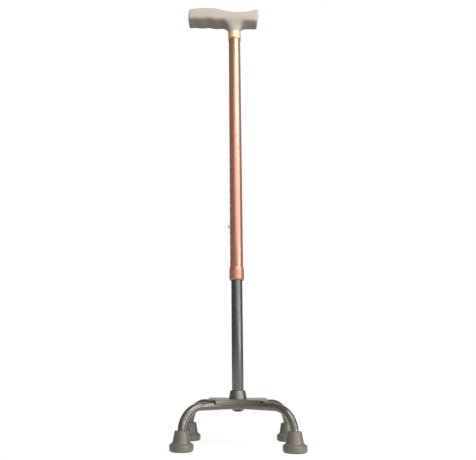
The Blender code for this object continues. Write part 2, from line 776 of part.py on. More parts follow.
def handle_cage():
    """A coarse cage of the grip and its neck, which Subdivision Surface rounds.

    The grip drops a little towards its short end, and the neck stays upright.
    """
    bm = bmesh.new()
    crease = bm.edges.layers.float.new("crease_edge")
    half_height = HANDLE_HEIGHT / 2
    half_depth = HANDLE_DEPTH / 2
    stations = handle_stations()
    rows = []
    for x, top, bottom, depth in stations:
        lean = end_lean(x)
        row = []
        for across, up in SECTION:
            z = up * half_height * (top if up > 0 else bottom)
            tilted = z - math.tan(HANDLE_TILT_ANGLE) * x
            row.append(bm.verts.new((x + lean * z, across * half_depth * depth, tilted)))
        rows.append(row)
    root = [i for i, station in enumerate(stations) if abs(station[0]) <= NECK_ROOT]
    count = len(SECTION)
    for i in range(len(rows) - 1):
        for k in range(count):
            if i in root[:-1] and NECK_FIRST <= k < NECK_LAST:
                continue
            nxt = (k + 1) % count
            bm.faces.new((rows[i][k], rows[i][nxt], rows[i + 1][nxt], rows[i + 1][k]))
    bm.faces.new(rows[0])
    bm.faces.new(reversed(rows[-1]))

    # The open patch under the grip continues down as the neck, which turns from a
    # square outline into the ring's circle.
    left, middle, right = (rows[i] for i in root)
    loop = [left[k] for k in (9, 8, 7)] + [middle[7]]
    loop += [right[k] for k in range(7, 12)] + [middle[11]]
    loop += [left[k] for k in (11, 10)]
    foot = NECK_Z - HANDLE_Z
    start = -half_height
    neck = foot - start
    top_z = start + NECK_TOP_SHARE * neck
    mid_z = start + NECK_MID_SHARE * neck
    levels = (
        neck_outline(NECK_TOP_WIDTH, NECK_TOP_DEPTH, NECK_TOP_SQUARENESS, top_z),
        neck_outline(NECK_MID_WIDTH, NECK_MID_DEPTH, NECK_MID_SQUARENESS, mid_z),
        neck_outline(2 * RING_R, 2 * RING_R, CIRCLE_SQUARENESS, foot),
    )
    for level in levels:
        lower = [bm.verts.new(point) for point in level]
        for k in range(len(loop)):
            nxt = (k + 1) % len(loop)
            bm.faces.new((loop[k], lower[k], lower[nxt], loop[nxt]))
        loop = lower
    base = bm.faces.new(loop)
    for edge in base.edges:
        edge[crease] = 1.0
    bmesh.ops.recalc_face_normals(bm, faces=bm.faces)
    mesh = bpy.data.meshes.new("handle_grip")
    bm.to_mesh(mesh)
    bm.free()
    return mesh


def make_handle(shaft):
    grip = bpy.data.objects.new("handle_grip", handle_cage())
    round_off = grip.modifiers.new("Round", "SUBSURF")
    round_off.levels = HANDLE_LEVELS
    round_off.render_levels = HANDLE_LEVELS
    spigot_bottom = NECK_Z - SPIGOT_LENGTH
    post = turned("spigot", disc_profile(SPIGOT_R, spigot_bottom, NECK_Z + SPIGOT_R))
    boolean(grip, cutter(post), "UNION")
    bore_top = NECK_Z + SPIGOT_R / 2
    bore = disc_profile(SPIGOT_BORE_D / 2, spigot_bottom - FIT, bore_top)
    boolean(grip, cutter(turned("spigot_bore", bore, steps=SMALL_STEPS)), "DIFFERENCE")
    at = [(0.0, SPIGOT_R, SCREW_Z)]
    pilot = round_cutter("spigot_screw_hole", SCREW_CLEAR_R, SPIGOT_R, at, "Y")
    boolean(grip, pilot, "DIFFERENCE")
    piece(grip, HANDLE_PLASTIC, (0.0, 0.0, HANDLE_Z), shaft)

    wall = ring_profile(RING_BORE_R, RING_R, RING_BOTTOM_Z, UPPER_TOP_Z)
    wall = [wall[0], wall[1], (*wall[2], 0), (*wall[3], 0)]
    piece(turned("handle_ring", rounded(wall, RING_ROUND), closed=True), GOLD, parent=shaft)

    under_head = UPPER_R + FIT
    screw = [
        (0.0, under_head + SCREW_HEAD_T),
        (SCREW_HEAD_D / 2, under_head + SCREW_HEAD_T),
        (SCREW_HEAD_D / 2, under_head, 0),
        (SCREW_D / 2, under_head, 0),
        (SCREW_D / 2, under_head - SCREW_LENGTH, 0),
        (0.0, under_head - SCREW_LENGTH),
    ]
    screw = turned("handle_screw", rounded(screw, SCREW_HEAD_T / 2), steps=SMALL_STEPS)
    screw.rotation_euler = (-math.pi / 2, 0.0, 0.0)
    piece(screw, STEEL, (0.0, 0.0, SCREW_Z), shaft)


for end, facing in (("front", -1), ("rear", 1)):
    make_leg_tube(f"{end}_leg_tube", facing)
    for side, way in (("left", -1), ("right", 1)):
        make_foot(end, side, (way * FOOT_X, facing * FOOT_Y, 0.0))
make_bridge_plate()
make_hub()
make_lower_tube()
make_button(carrier("button_slide", BUTTON_Z))
height_slide = carrier("height_slide")
make_upper_tube(height_slide)
nut_travel = carrier("lock_nut_travel", LOCK_BOTTOM_Z, height_slide)
make_lock(nut_travel, carrier("lock_nut_turn", LOCK_BOTTOM_Z, nut_travel))
make_handle(height_slide)
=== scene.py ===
# %% [markdown]
# # A quad cane
#
# A walking cane with a T handle, a shaft that telescopes, and a low base on rubber
# feet. The working model, with its joints, is already built. This script dresses it:
# each visible part gets a finer mesh or a better finish on exactly the same place.
# Everything is in metres, with +Z up. The front of the cane is at -Y, and the long
# side of the handle points to -X.

import math

import bmesh
import bpy
from mathutils import Matrix, Vector


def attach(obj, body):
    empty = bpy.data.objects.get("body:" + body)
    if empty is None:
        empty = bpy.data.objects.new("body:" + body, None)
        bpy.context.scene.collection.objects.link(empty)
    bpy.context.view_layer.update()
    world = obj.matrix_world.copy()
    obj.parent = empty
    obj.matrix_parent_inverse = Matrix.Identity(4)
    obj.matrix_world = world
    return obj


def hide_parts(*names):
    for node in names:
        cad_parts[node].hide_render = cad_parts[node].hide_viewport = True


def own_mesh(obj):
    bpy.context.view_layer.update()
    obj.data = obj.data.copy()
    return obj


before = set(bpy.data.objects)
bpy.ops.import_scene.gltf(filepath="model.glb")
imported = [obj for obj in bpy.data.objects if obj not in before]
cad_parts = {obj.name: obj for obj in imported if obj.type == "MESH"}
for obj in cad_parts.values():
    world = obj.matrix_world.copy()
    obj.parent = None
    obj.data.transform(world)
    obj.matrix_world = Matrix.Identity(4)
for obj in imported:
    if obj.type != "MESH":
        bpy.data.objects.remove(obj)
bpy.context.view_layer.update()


def in_scene(thing):
    """Puts an object in the scene, unless it is there already."""
    if thing.name not in bpy.context.scene.collection.objects:
        bpy.context.scene.collection.objects.link(thing)
    return thing


# %% [markdown]
# ## The camera
#
# The picture was taken from low down, tilted up, so the shaft grows thinner towards
# the handle and the handle shows its underside. A camera in Blender looks along its
# own -Z, so it is turned up from the floor by a right angle plus the tilt. It also
# looks a little past the cane's left side, and the lens is shifted back by the same
# amount, which is what cutting a picture out of a wider one does. The focal length in
# pixels becomes millimetres through the width of the sensor.

# %% Place the camera
PICTURE_WIDTH = 476
FOCAL_PIXELS = 527.8
SHIFT_PIXELS = 23.9
SENSOR_WIDTH = 36.0
CAMERA_AT = (0.0075, -0.8947, 0.1131)
CAMERA_TILT = math.radians(15.03)
CAMERA_TURN = math.radians(2.97)
CAMERA_ROLL = math.radians(0.10)

camera_data = bpy.data.cameras.new("camera")
camera_data.sensor_width = SENSOR_WIDTH
camera_data.lens = FOCAL_PIXELS * SENSOR_WIDTH / PICTURE_WIDTH
camera_data.shift_x = SHIFT_PIXELS / PICTURE_WIDTH
camera = in_scene(bpy.data.objects.new("camera", camera_data))
aim = Matrix.Rotation(CAMERA_TURN, 4, "Z") @ Matrix.Rotation(math.pi / 2 + CAMERA_TILT, 4, "X")
roll = Matrix.Rotation(CAMERA_ROLL, 4, "Z")
camera.matrix_world = Matrix.Translation(CAMERA_AT) @ aim @ roll
bpy.context.scene.camera = camera
print("lens:", round(camera_data.lens, 2), "mm")

# %% [markdown]
# ## Small helpers for shader nodes
#
# A material is a tree of nodes. Writing each node and each link by hand is long, so
# one helper adds a node, and sets each input from a plain value or from another
# node's output. It keeps every material below short enough to read as a recipe.

# %% Helpers for node trees
def add(tree, kind, inputs=None, **settings):
    """Adds a node. An input may be a value or an output socket to link from."""
    node = tree.nodes.new(kind)
    for name, value in settings.items():
        setattr(node, name, value)
    for key, value in (inputs or {}).items():
        if isinstance(value, bpy.types.NodeSocket):
            tree.links.new(value, node.inputs[key])
        else:
            node.inputs[key].default_value = value
    return node


def calc(tree, operation, first, second=0.0):
    """The result of one sum on two values."""
    return add(tree, "ShaderNodeMath", {0: first, 1: second}, operation=operation).outputs[0]


def remap(tree, value, low, high, new_low=0.0, new_high=1.0):
    """A value moved from one range to another, and kept inside it."""
    inputs = {0: value, 1: low, 2: high, 3: new_low, 4: new_high}
    return add(tree, "ShaderNodeMapRange", inputs).outputs[0]


def blend_colour(tree, share, first, second):
    """A colour between two colours."""
    inputs = {0: share, 6: first, 7: second}
    return add(tree, "ShaderNodeMix", inputs, data_type="RGBA").outputs[2]


def noise(tree, place, scale, detail=2.0):
    """Smooth random values between 0 and 1."""
    inputs = {"Vector": place, "Scale": scale, "Detail": detail}
    return add(tree, "ShaderNodeTexNoise", inputs).outputs["Fac"]


def object_place(tree):
    """Where a point is on its own object, in metres."""
    return add(tree, "ShaderNodeTexCoord").outputs["Object"]


def part_of(tree, vector, axis):
    """One coordinate of a place or a direction."""
    return add(tree, "ShaderNodeSeparateXYZ", {0: vector}).outputs[axis]


# %% [markdown]
# ## The room
#
# The cane stands on a sheet of pale paper, in front of a white sweep. Two big soft
# boxes to the right, one level and one high, give the long highlight down the tubes,
# and a low strip beside the floor reaches the feet. Two more boxes fill the front, and
# a weak one lights the top from behind. The rest of the room is grey, which leaves
# darker bands on the metal: shiny tubes look round only when bright and dark lie side
# by side on them.

# %% Soft boxes
def soft_box(name, azimuth, elevation, distance, size, power, aim_height=0.40):
    """A rectangular lamp that faces the cane. Azimuth 0 is the front, 90 the right."""
    lamp = bpy.data.lights.new(name, "AREA")
    lamp.shape = "RECTANGLE"
    lamp.size, lamp.size_y = size
    lamp.energy = power
    turn = math.radians(azimuth)
    rise = math.radians(elevation)
    target = Vector((0.0, 0.0, aim_height))
    away = Vector((math.sin(turn) * math.cos(rise), -math.cos(turn) * math.cos(rise), math.sin(rise)))
    holder = in_scene(bpy.data.objects.new(name, lamp))
    holder.location = target + away * distance
    holder.rotation_euler = away.to_track_quat("Z", "Y").to_euler()
    holder.visible_camera = False


soft_box("key_box", 57, 10, 2.2, (1.5, 1.6), 17.3, 0.42)
soft_box("high_box", 50, 46, 2.3, (1.7, 1.5), 31.0, 0.42)
soft_box("low_box", 52, 1.6, 2.0, (1.3, 0.11), 4.8, 0.0)
soft_box("side_box", 22, 20, 2.3, (1.1, 3.0), 18.7, 0.64)
soft_box("front_box", -6, 22, 2.3, (1.4, 2.4), 9.5, 0.5)
soft_box("back_box", 172, 55, 2.4, (1.4, 0.8), 3.6)

# %% The world: grey room, white sweep behind
ROOM_GREY = (0.275, 0.275, 0.275, 1.0)
SWEEP_WHITE = (1.0, 1.0, 1.0, 1.0)
SWEEP_EDGE = (0.95, 1.0)

world = bpy.data.worlds.new("studio")
world.use_nodes = True
bpy.context.scene.world = world
tree = world.node_tree
tree.nodes.clear()
rays = add(tree, "ShaderNodeLightPath")
ways = add(tree, "ShaderNodeTexCoord").outputs["Generated"]
behind = remap(tree, part_of(tree, ways, "Y"), *SWEEP_EDGE)
mirrored = calc(tree, "MAXIMUM", rays.outputs["Is Glossy Ray"], rays.outputs["Is Transmission Ray"])
sweep = calc(tree, "MULTIPLY", mirrored, behind)
white = calc(tree, "MAXIMUM", rays.outputs["Is Camera Ray"], sweep)
colour = blend_colour(tree, white, ROOM_GREY, SWEEP_WHITE)
backdrop = add(tree, "ShaderNodeBackground", {"Color": colour, "Strength": 1.0})
add(tree, "ShaderNodeOutputWorld", {"Surface": backdrop.outputs[0]})
bpy.context.scene.view_settings.view_transform = "Standard"

# %% Meshes from points
def drawn_object(name, points, edges=(), faces=()):
    """An object with exactly these points, edges and faces."""
    mesh = bpy.data.meshes.new(name)
    mesh.from_pydata(points, edges, faces)
    return bpy.data.objects.new(name, mesh)


# %% The floor: it shows the cane's shadow near the feet, and is plain white far off
FLOOR_SIZE = 1.8
FLOOR_DROP = 0.0002
FLOOR_MATT = (0.29, 0.29, 0.285, 1.0)
FLOOR_SHARE_WHITE = 0.55
FLOOR_WHITE = 1.66
SHADOW_REACH = (0.20, 0.60)

half = FLOOR_SIZE / 2
floor_corners = [(-half, -half, 0), (half, -half, 0), (half, half, 0), (-half, half, 0)]
floor = in_scene(drawn_object("floor", floor_corners, faces=[(0, 1, 2, 3)]))
floor.location.z = -FLOOR_DROP

paper = bpy.data.materials.new("floor_paper")
paper.use_nodes = True
tree = paper.node_tree
tree.nodes.clear()
rays = add(tree, "ShaderNodeLightPath")
seen = calc(tree, "MAXIMUM", rays.outputs["Is Camera Ray"], rays.outputs["Is Glossy Ray"])
seen = calc(tree, "MAXIMUM", seen, rays.outputs["Is Transmission Ray"])
away = add(tree, "ShaderNodeVectorMath", {0: object_place(tree)}, operation="LENGTH").outputs["Value"]
far = remap(tree, away, *SHADOW_REACH)
matt = add(tree, "ShaderNodeBsdfDiffuse", {"Color": FLOOR_MATT})
glow = add(tree, "ShaderNodeEmission", {"Color": SWEEP_WHITE, "Strength": FLOOR_WHITE})
plain = add(tree, "ShaderNodeEmission", {"Color": SWEEP_WHITE, "Strength": 1.0})
near = add(tree, "ShaderNodeMixShader", {0: FLOOR_SHARE_WHITE, 1: matt.outputs[0], 2: glow.outputs[0]})
white = add(tree, "ShaderNodeMixShader", {0: far, 1: near.outputs[0], 2: plain.outputs[0]})
mixed = add(tree, "ShaderNodeMixShader", {0: seen, 1: matt.outputs[0], 2: white.outputs[0]})
add(tree, "ShaderNodeOutputMaterial", {"Surface": mixed.outputs[0]})
floor.data.materials.append(paper)

# %% [markdown]
# ## Effects that several finishes share
#
# No real surface is one flat colour. Anodising varies a little along a tube, plastic
# has a fine grain from its mould, and whatever stands on the floor gets scuffed. Each
# such effect is a node group, built once and then used with its own values.

# %% A builder for node groups
def new_group(name, inputs, outputs):
    """A shader node group with float inputs, given as name and default."""
    group = bpy.data.node_groups.new(name, "ShaderNodeTree")
    for label, default in inputs:
        socket = group.interface.new_socket(label, in_out="INPUT", socket_type="NodeSocketFloat")
        socket.default_value = default
    for label in outputs:
        group.interface.new_socket(label, in_out="OUTPUT", socket_type="NodeSocketFloat")
    entry = group.nodes.new("NodeGroupInput")
    leave = group.nodes.new("NodeGroupOutput")
    return group, entry.outputs, leave.inputs


def use_group(tree, group, **values):
    """Places a group in a material, with its inputs set by name."""
    node = tree.nodes.new("ShaderNodeGroup")
    node.node_tree = group
    for name, value in values.items():
        node.inputs[name.replace("_", " ")].default_value = value
    return node.outputs


# %% Uneven finish: slow changes of shade and gloss
uneven, start, end = new_group(
    "uneven_finish",
    [("Patch Scale", 40.0), ("Shade Spread", 0.1), ("Gloss", 0.4), ("Gloss Spread", 0.08)],
    ["Shade", "Roughness"],
)
place = object_place(uneven)
patches = noise(uneven, place, start["Patch Scale"], 4.0)
finer = noise(uneven, place, calc(uneven, "MULTIPLY", start["Patch Scale"], 7.0), 3.0)
centred = calc(uneven, "SUBTRACT", calc(uneven, "ADD", patches, finer), 1.0)
spread = calc(uneven, "MULTIPLY", centred, start["Shade Spread"])
uneven.links.new(calc(uneven, "ADD", spread, 1.0), end["Shade"])
gloss = calc(uneven, "MULTIPLY", centred, start["Gloss Spread"])
uneven.links.new(calc(uneven, "ADD", gloss, start["Gloss"]), end["Roughness"])

# %% Drawn lines: the faint streaks that a die leaves along a tube
drawn, start, end = new_group(
    "drawn_lines",
    [("Lines Across", 900.0), ("Lines Along", 6.0)],
    ["Height", "Streak"],
)
across = start["Lines Across"]
axes = add(drawn, "ShaderNodeCombineXYZ", {0: across, 1: across, 2: start["Lines Along"]}).outputs[0]
pair = {0: object_place(drawn), 1: axes}
along = add(drawn, "ShaderNodeVectorMath", pair, operation="MULTIPLY").outputs[0]
fine = noise(drawn, along, 1.0, 3.0)
broad = noise(drawn, along, 0.22, 2.0)
drawn.links.new(fine, end["Height"])
drawn.links.new(remap(drawn, broad, 0.35, 0.65), end["Streak"])

# %% Moulded grain: the fine pebbles of a spark-eroded mould
grain, start, end = new_group("moulded_grain", [("Grain Scale", 1400.0)], ["Height"])
place = object_place(grain)
spots = {"Vector": place, "Scale": start["Grain Scale"]}
cells = add(grain, "ShaderNodeTexVoronoi", spots).outputs["Distance"]
soft = noise(grain, place, calc(grain, "MULTIPLY", start["Grain Scale"], 0.5), 3.0)
grain.links.new(calc(grain, "ADD", cells, soft), end["Height"])

# %% Scratches: sparse fine marks from use
marks, start, end = new_group("fine_scratches", [("Mark Scale", 60.0), ("Amount", 0.5)], ["Mask"])
place = object_place(marks)
slant = {"Vector": place, "Rotation": (0.5, 0.3, 0.9), "Scale": (1.0, 14.0, 3.0)}
lean = add(marks, "ShaderNodeMapping", slant).outputs[0]
threads = noise(marks, lean, start["Mark Scale"], 4.0)
near_line = calc(marks, "ABSOLUTE", calc(marks, "SUBTRACT", threads, 0.5))
thin = remap(marks, near_line, 0.0, 0.012, 1.0, 0.0)
sparse = remap(marks, noise(marks, place, 55.0, 2.0), 0.52, 0.62)
scratched = calc(marks, "MULTIPLY", thin, sparse)
marks.links.new(calc(marks, "MULTIPLY", scratched, start["Amount"]), end["Mask"])

# %% Floor dust: grey dust and scuffs that fade out above the floor
dust, start, end = new_group("floor_dust", [("Reach", 0.012), ("Amount", 0.6)], ["Mask"])
place = object_place(dust)
height = part_of(dust, place, "Z")
low = calc(dust, "SUBTRACT", 1.0, calc(dust, "DIVIDE", height, start["Reach"]))
patchy = remap(dust, noise(dust, place, 260.0, 4.0), 0.35, 0.7, 0.25, 1.0)
faded = add(dust, "ShaderNodeClamp", {0: low}).outputs[0]
settled = calc(dust, "MULTIPLY", faded, patchy)
dust.links.new(calc(dust, "MULTIPLY", settled, start["Amount"]), end["Mask"])
print("node groups:", sorted(g.name for g in bpy.data.node_groups))

# %% [markdown]
# ## Finishes
#
# Each finish below is one material. Its colour is the colour of the real thing in
# plain light, multiplied by the slow changes of shade, and its Bump node turns a
# height into fine relief. Distances in a Bump node are in metres too, so they are
# hundredths of a millimetre here.

# %% A builder for materials
def new_finish(name, **plain):
    """A material with a Principled shader, and inputs set to plain values."""
    material = bpy.data.materials.new(name)
    material.use_nodes = True
    shader = material.node_tree.nodes["Principled BSDF"]
    for key, value in plain.items():
        shader.inputs[key.replace("_", " ")].default_value = value
    return material, material.node_tree, shader


def shaded(tree, colour, shade):
    """A colour made lighter or darker by a value."""
    grey = add(tree, "ShaderNodeCombineXYZ", {0: shade, 1: shade, 2: shade}).outputs[0]
    inputs = {0: 1.0, 6: colour, 7: grey}
    return add(tree, "ShaderNodeMix", inputs, data_type="RGBA", blend_type="MULTIPLY").outputs[2]


def scratched(tree, colour, below, scale, amount):
    """A colour with scratches, which show the colour below."""
    mask = use_group(tree, marks, Mark_Scale=scale, Amount=amount)["Mask"]
    return blend_colour(tree, mask, colour, below)


def surface(tree, shader, colour, roughness):
    """Gives the shader its colour and its roughness."""
    tree.links.new(colour, shader.inputs["Base Color"])
    tree.links.new(roughness, shader.inputs["Roughness"])


def relief(tree, shader, height, depth):
    """Turns a height into the shader's normal, at a real depth in metres."""
    bump = add(tree, "ShaderNodeBump", {"Height": height, "Distance": depth})
    tree.links.new(bump.outputs[0], shader.inputs["Normal"])


# %% Handle plastic: warm grey, satin, with a fine grain, and a mould line with painted shade in its groove
HANDLE_GREY = (0.510, 0.438, 0.380, 1.0)
MOULD_LINE_SHADE = (0.417, 0.361, 0.306, 1.0)
MOULD_LINE = 0.00022

handle_plastic, tree, shader = new_finish("handle_plastic", IOR=1.5, Specular_IOR_Level=0.45)
look = use_group(tree, uneven, Patch_Scale=55.0, Shade_Spread=0.10, Gloss=0.58, Gloss_Spread=0.10)
across = calc(tree, "ABSOLUTE", part_of(tree, object_place(tree), "Y"))
line = remap(tree, across, 0.0, MOULD_LINE, 1.0, 0.0)
base = shaded(tree, HANDLE_GREY, look["Shade"])
# Painted shade: the mould line's groove is blended towards a darker grey.
base = blend_colour(tree, calc(tree, "MULTIPLY", line, 0.35), base, MOULD_LINE_SHADE)
surface(tree, shader, base, look["Roughness"])
pebbles = use_group(tree, grain, Grain_Scale=1500.0)["Height"]
line_height = calc(tree, "MULTIPLY", line, 3.0)
relief(tree, shader, calc(tree, "SUBTRACT", pebbles, line_height), depth=0.00002)

# %% Copper anodising: bright, with streaks along the tube and a clear seal
COPPER_LIGHT = (0.60, 0.215, 0.125, 1.0)
COPPER_DEEP = (0.545, 0.187, 0.105, 1.0)
COPPER_WORN = (0.950, 0.833, 0.694, 1.0)


def make_copper(name, gloss, clear, along):
    """The drawn tube has a clear seal and streaks along it. The turned nut is duller."""
    material, tree, shader = new_finish(
        name, Metallic=0.75, Coat_Weight=clear, Coat_Roughness=0.27, Coat_IOR=2.0
    )
    look = use_group(tree, uneven, Patch_Scale=18.0, Shade_Spread=0.08, Gloss=gloss, Gloss_Spread=0.05)
    lines = use_group(tree, drawn, Lines_Across=1500.0, Lines_Along=along)
    base = blend_colour(tree, lines["Streak"], COPPER_DEEP, COPPER_LIGHT)
    base = scratched(tree, shaded(tree, base, look["Shade"]), COPPER_WORN, 70.0, 0.25)
    surface(tree, shader, base, look["Roughness"])
    relief(tree, shader, lines["Height"], depth=0.000004)
    return material


copper_tube = make_copper("copper_anodised_tube", 0.30, 1.0, 4.0)
copper_turned = make_copper("copper_anodised_turned", 0.42, 0.8, 300.0)

# %% Gunmetal anodising: dark, satin, with the same streaks
GUNMETAL = (0.118, 0.118, 0.115, 1.0)
COLLAR_GREY = (0.174, 0.160, 0.147, 1.0)
BARE_METAL = (0.583, 0.583, 0.583, 1.0)


def make_gunmetal(name, colour, gloss, along):
    """Dark anodising. The streaks run along a drawn tube and round a turned collar."""
    material, tree, shader = new_finish(name, Metallic=0.85, Coat_Weight=0.42, Coat_Roughness=0.2)
    look = use_group(tree, uneven, Patch_Scale=22.0, Shade_Spread=0.12, Gloss=gloss, Gloss_Spread=0.04)
    lines = use_group(tree, drawn, Lines_Across=1400.0, Lines_Along=along)
    base = shaded(tree, colour, look["Shade"])
    lighter = tuple(1.5 * value for value in colour[:3]) + (1.0,)
    base = blend_colour(tree, calc(tree, "MULTIPLY", lines["Streak"], 0.25), base, lighter)
    base = scratched(tree, base, BARE_METAL, 70.0, 0.5)
    surface(tree, shader, base, look["Roughness"])
    relief(tree, shader, lines["Height"], depth=0.000005)
    return material


gunmetal = make_gunmetal("gunmetal_anodised", GUNMETAL, 0.30, 4.0)
collar_grey = make_gunmetal("gunmetal_anodised_collar", COLLAR_GREY, 0.36, 300.0)

# %% Gold plate: bright and thin, with fine turning lines
GOLD = (0.93, 0.685, 0.345, 1.0)
GOLD_WORN = (0.70, 0.58, 0.42, 1.0)

gold_plate, tree, shader = new_finish("gold_plate", Metallic=0.55)
look = use_group(tree, uneven, Patch_Scale=120.0, Shade_Spread=0.12, Gloss=0.40, Gloss_Spread=0.08)
turning = use_group(tree, drawn, Lines_Across=60.0, Lines_Along=2500.0)["Height"]
base = scratched(tree, shaded(tree, GOLD, look["Shade"]), GOLD_WORN, 90.0, 0.4)
surface(tree, shader, base, look["Roughness"])
relief(tree, shader, turning, depth=0.00001)

# %% Grey paint: olive grey, with metal flake under a clear coat
PAINT_GREY = (0.112, 0.103, 0.081, 1.0)
FLAKE = (0.306, 0.285, 0.230, 1.0)
PAINT_WORN = (0.583, 0.569, 0.542, 1.0)
LEG_DUST = (0.500, 0.472, 0.431, 1.0)

grey_paint, tree, shader = new_finish("grey_paint", Metallic=0.60, Coat_Weight=0.7, Coat_Roughness=0.10)
look = use_group(tree, uneven, Patch_Scale=30.0, Shade_Spread=0.14, Gloss=0.24, Gloss_Spread=0.06)
place = object_place(tree)
flakes = add(tree, "ShaderNodeTexVoronoi", {"Vector": place, "Scale": 2600.0}).outputs["Color"]
bright = remap(tree, part_of(tree, flakes, "X"), 0.72, 1.0, 0.0, 0.35)
dusty = use_group(tree, dust, Reach=0.045, Amount=0.12)["Mask"]
base = blend_colour(tree, bright, shaded(tree, PAINT_GREY, look["Shade"]), FLAKE)
base = scratched(tree, base, PAINT_WORN, 50.0, 0.4)
base = blend_colour(tree, dusty, base, LEG_DUST)
surface(tree, shader, base, look["Roughness"])
relief(tree, shader, noise(tree, place, 420.0), depth=0.00006)

# %% Plate finish: the same paint, matt, with its flat top painted a lighter tan as painted light
PLATE_PAINT = (0.134, 0.126, 0.102, 1.0)
PLATE_TOP_LIGHT = (0.333, 0.278, 0.215, 1.0)
PLATE_WORN = (0.417, 0.403, 0.375, 1.0)
TOP_LIGHT_FROM, TOP_LIGHT_FULL = 0.0702, 0.0708

plate_paint, tree, shader = new_finish("grey_paint_plate", Metallic=0.55, Specular_IOR_Level=0.55)
look = use_group(tree, uneven, Patch_Scale=45.0, Shade_Spread=0.22, Gloss=0.34, Gloss_Spread=0.08)
place = object_place(tree)
# Painted light: the flat top face is blended towards a lighter tan, where the lamps catch it.
lit_top = remap(tree, part_of(tree, place, "Z"), TOP_LIGHT_FROM, TOP_LIGHT_FULL)
patchy = remap(tree, noise(tree, place, 90.0, 4.0), 0.3, 0.7, 0.65, 1.0)
base = scratched(tree, shaded(tree, PLATE_PAINT, look["Shade"]), PLATE_WORN, 50.0, 0.4)
base = blend_colour(tree, calc(tree, "MULTIPLY", lit_top, patchy), base, PLATE_TOP_LIGHT)
surface(tree, shader, base, look["Roughness"])
relief(tree, shader, noise(tree, place, 420.0), depth=0.00006)

# %% Grey rubber: satin, from olive to brown, dusty near the floor
RUBBER_OLIVE = (0.136, 0.135, 0.106, 1.0)
RUBBER_BROWN = (0.169, 0.147, 0.122, 1.0)
RUBBER_DUST = (0.361, 0.340, 0.306, 1.0)

grey_rubber, tree, shader = new_finish("grey_rubber", IOR=1.52, Specular_IOR_Level=0.69)
look = use_group(tree, uneven, Patch_Scale=110.0, Shade_Spread=0.20, Gloss=0.38, Gloss_Spread=0.12)
dusty = use_group(tree, dust, Reach=0.006, Amount=0.30)["Mask"]
hue = remap(tree, noise(tree, object_place(tree), 17.0, 1.0), 0.38, 0.60)
base = shaded(tree, blend_colour(tree, hue, RUBBER_OLIVE, RUBBER_BROWN), look["Shade"])
base = blend_colour(tree, dusty, base, RUBBER_DUST)
surface(tree, shader, base, look["Roughness"])
relief(tree, shader, use_group(tree, grain, Grain_Scale=1100.0)["Height"], depth=0.00005)

# %% Zinc plate, spring steel and nylon, for the small parts
STEEL_WORN = (0.40, 0.40, 0.41, 1.0)
NYLON_WHITE = (0.75, 0.74, 0.69, 1.0)


def make_metal(name, colour, gloss, patches, metal=1.0):
    """Plain metal with patches of another gloss, and scratches from use."""
    material, tree, shader = new_finish(name, Metallic=metal)
    spread = {"Shade_Spread": 0.16, "Gloss_Spread": 0.10}
    look = use_group(tree, uneven, Patch_Scale=patches, Gloss=gloss, **spread)
    base = scratched(tree, shaded(tree, colour, look["Shade"]), STEEL_WORN, 120.0, 0.4)
    surface(tree, shader, base, look["Roughness"])
    return material


zinc_steel = make_metal("zinc_steel", (0.66, 0.66, 0.67, 1.0), 0.28, 180.0)
# Painted reflection: the button is a pale pinkish copy of zinc steel, which stands for the copper tube
# mirrored in it.
button_painted_reflection = make_metal("zinc_steel_button", (0.80, 0.76, 0.74, 1.0), 0.42, 180.0, metal=0.5)
spring_steel = make_metal("spring_steel", (0.40, 0.41, 0.43, 1.0), 0.24, 90.0)
# Painted shade: zinc steel painted nearly black, for the washer and bolt in the shade under the plate.
steel_painted_shade = make_metal("darkened_steel", (0.085, 0.085, 0.081, 1.0), 0.40, 120.0)

nylon, tree, shader = new_finish("nylon", IOR=1.53)
look = use_group(tree, uneven, Patch_Scale=80.0, Shade_Spread=0.08, Gloss=0.45, Gloss_Spread=0.08)
surface(tree, shader, shaded(tree, NYLON_WHITE, look["Shade"]), look["Roughness"])
relief(tree, shader, use_group(tree, grain, Grain_Scale=1800.0)["Height"], depth=0.00002)
print("finishes:", sorted(m.name for m in bpy.data.materials if m.use_nodes))

# %% [markdown]
# ## Turned parts
#
# Most of the cane is round: tubes, nut, rings, feet. Such a part is one outline,
# given as distances from the axis and heights, turned about an upright axis. The
# outline's corners are rounded first, because a real edge always catches a thin line
# of light. Building the rings of points directly leaves no seam to weld. Parts that
# touch in real life stay apart by one small clearance, so that no two faces coincide.

# %% Outlines and turning
TURN_STEPS = 96
FIT = 0.0003
ON_AXIS = 1e-9
LONGEST_ROUND = 0.45


def solid_object(name, bm):
    """An object with the shape that a bmesh holds. The bmesh is then freed."""
    mesh = bpy.data.meshes.new(name)
    bm.to_mesh(mesh)
    bm.free()
    return bpy.data.objects.new(name, mesh)


def round_corners(points, steps):
    """Rounds the corners of an outline that are given as (r, z, R), with the radius R."""
    count = len(points)
    result = []
    for i, point in enumerate(points):
        corner = Vector(point[:2])
        radius = point[2] if len(point) == 3 else 0.0
        if radius <= 0.0 or point[0] < ON_AXIS:
            result.append(tuple(corner))
            continue
        before = Vector(points[i - 1][:2]) - corner
        after = Vector(points[(i + 1) % count][:2]) - corner
        half_angle = before.angle(after) / 2
        shorter = min(before.length, after.length)
        reach = min(radius / math.tan(half_angle), LONGEST_ROUND * shorter)
        first = corner + before.normalized() * reach
        last = corner + after.normalized() * reach
        for k in range(steps + 1):
            share = k / steps
            near = first.lerp(corner, share)
            far = corner.lerp(last, share)
            result.append(tuple(near.lerp(far, share)))
    return result


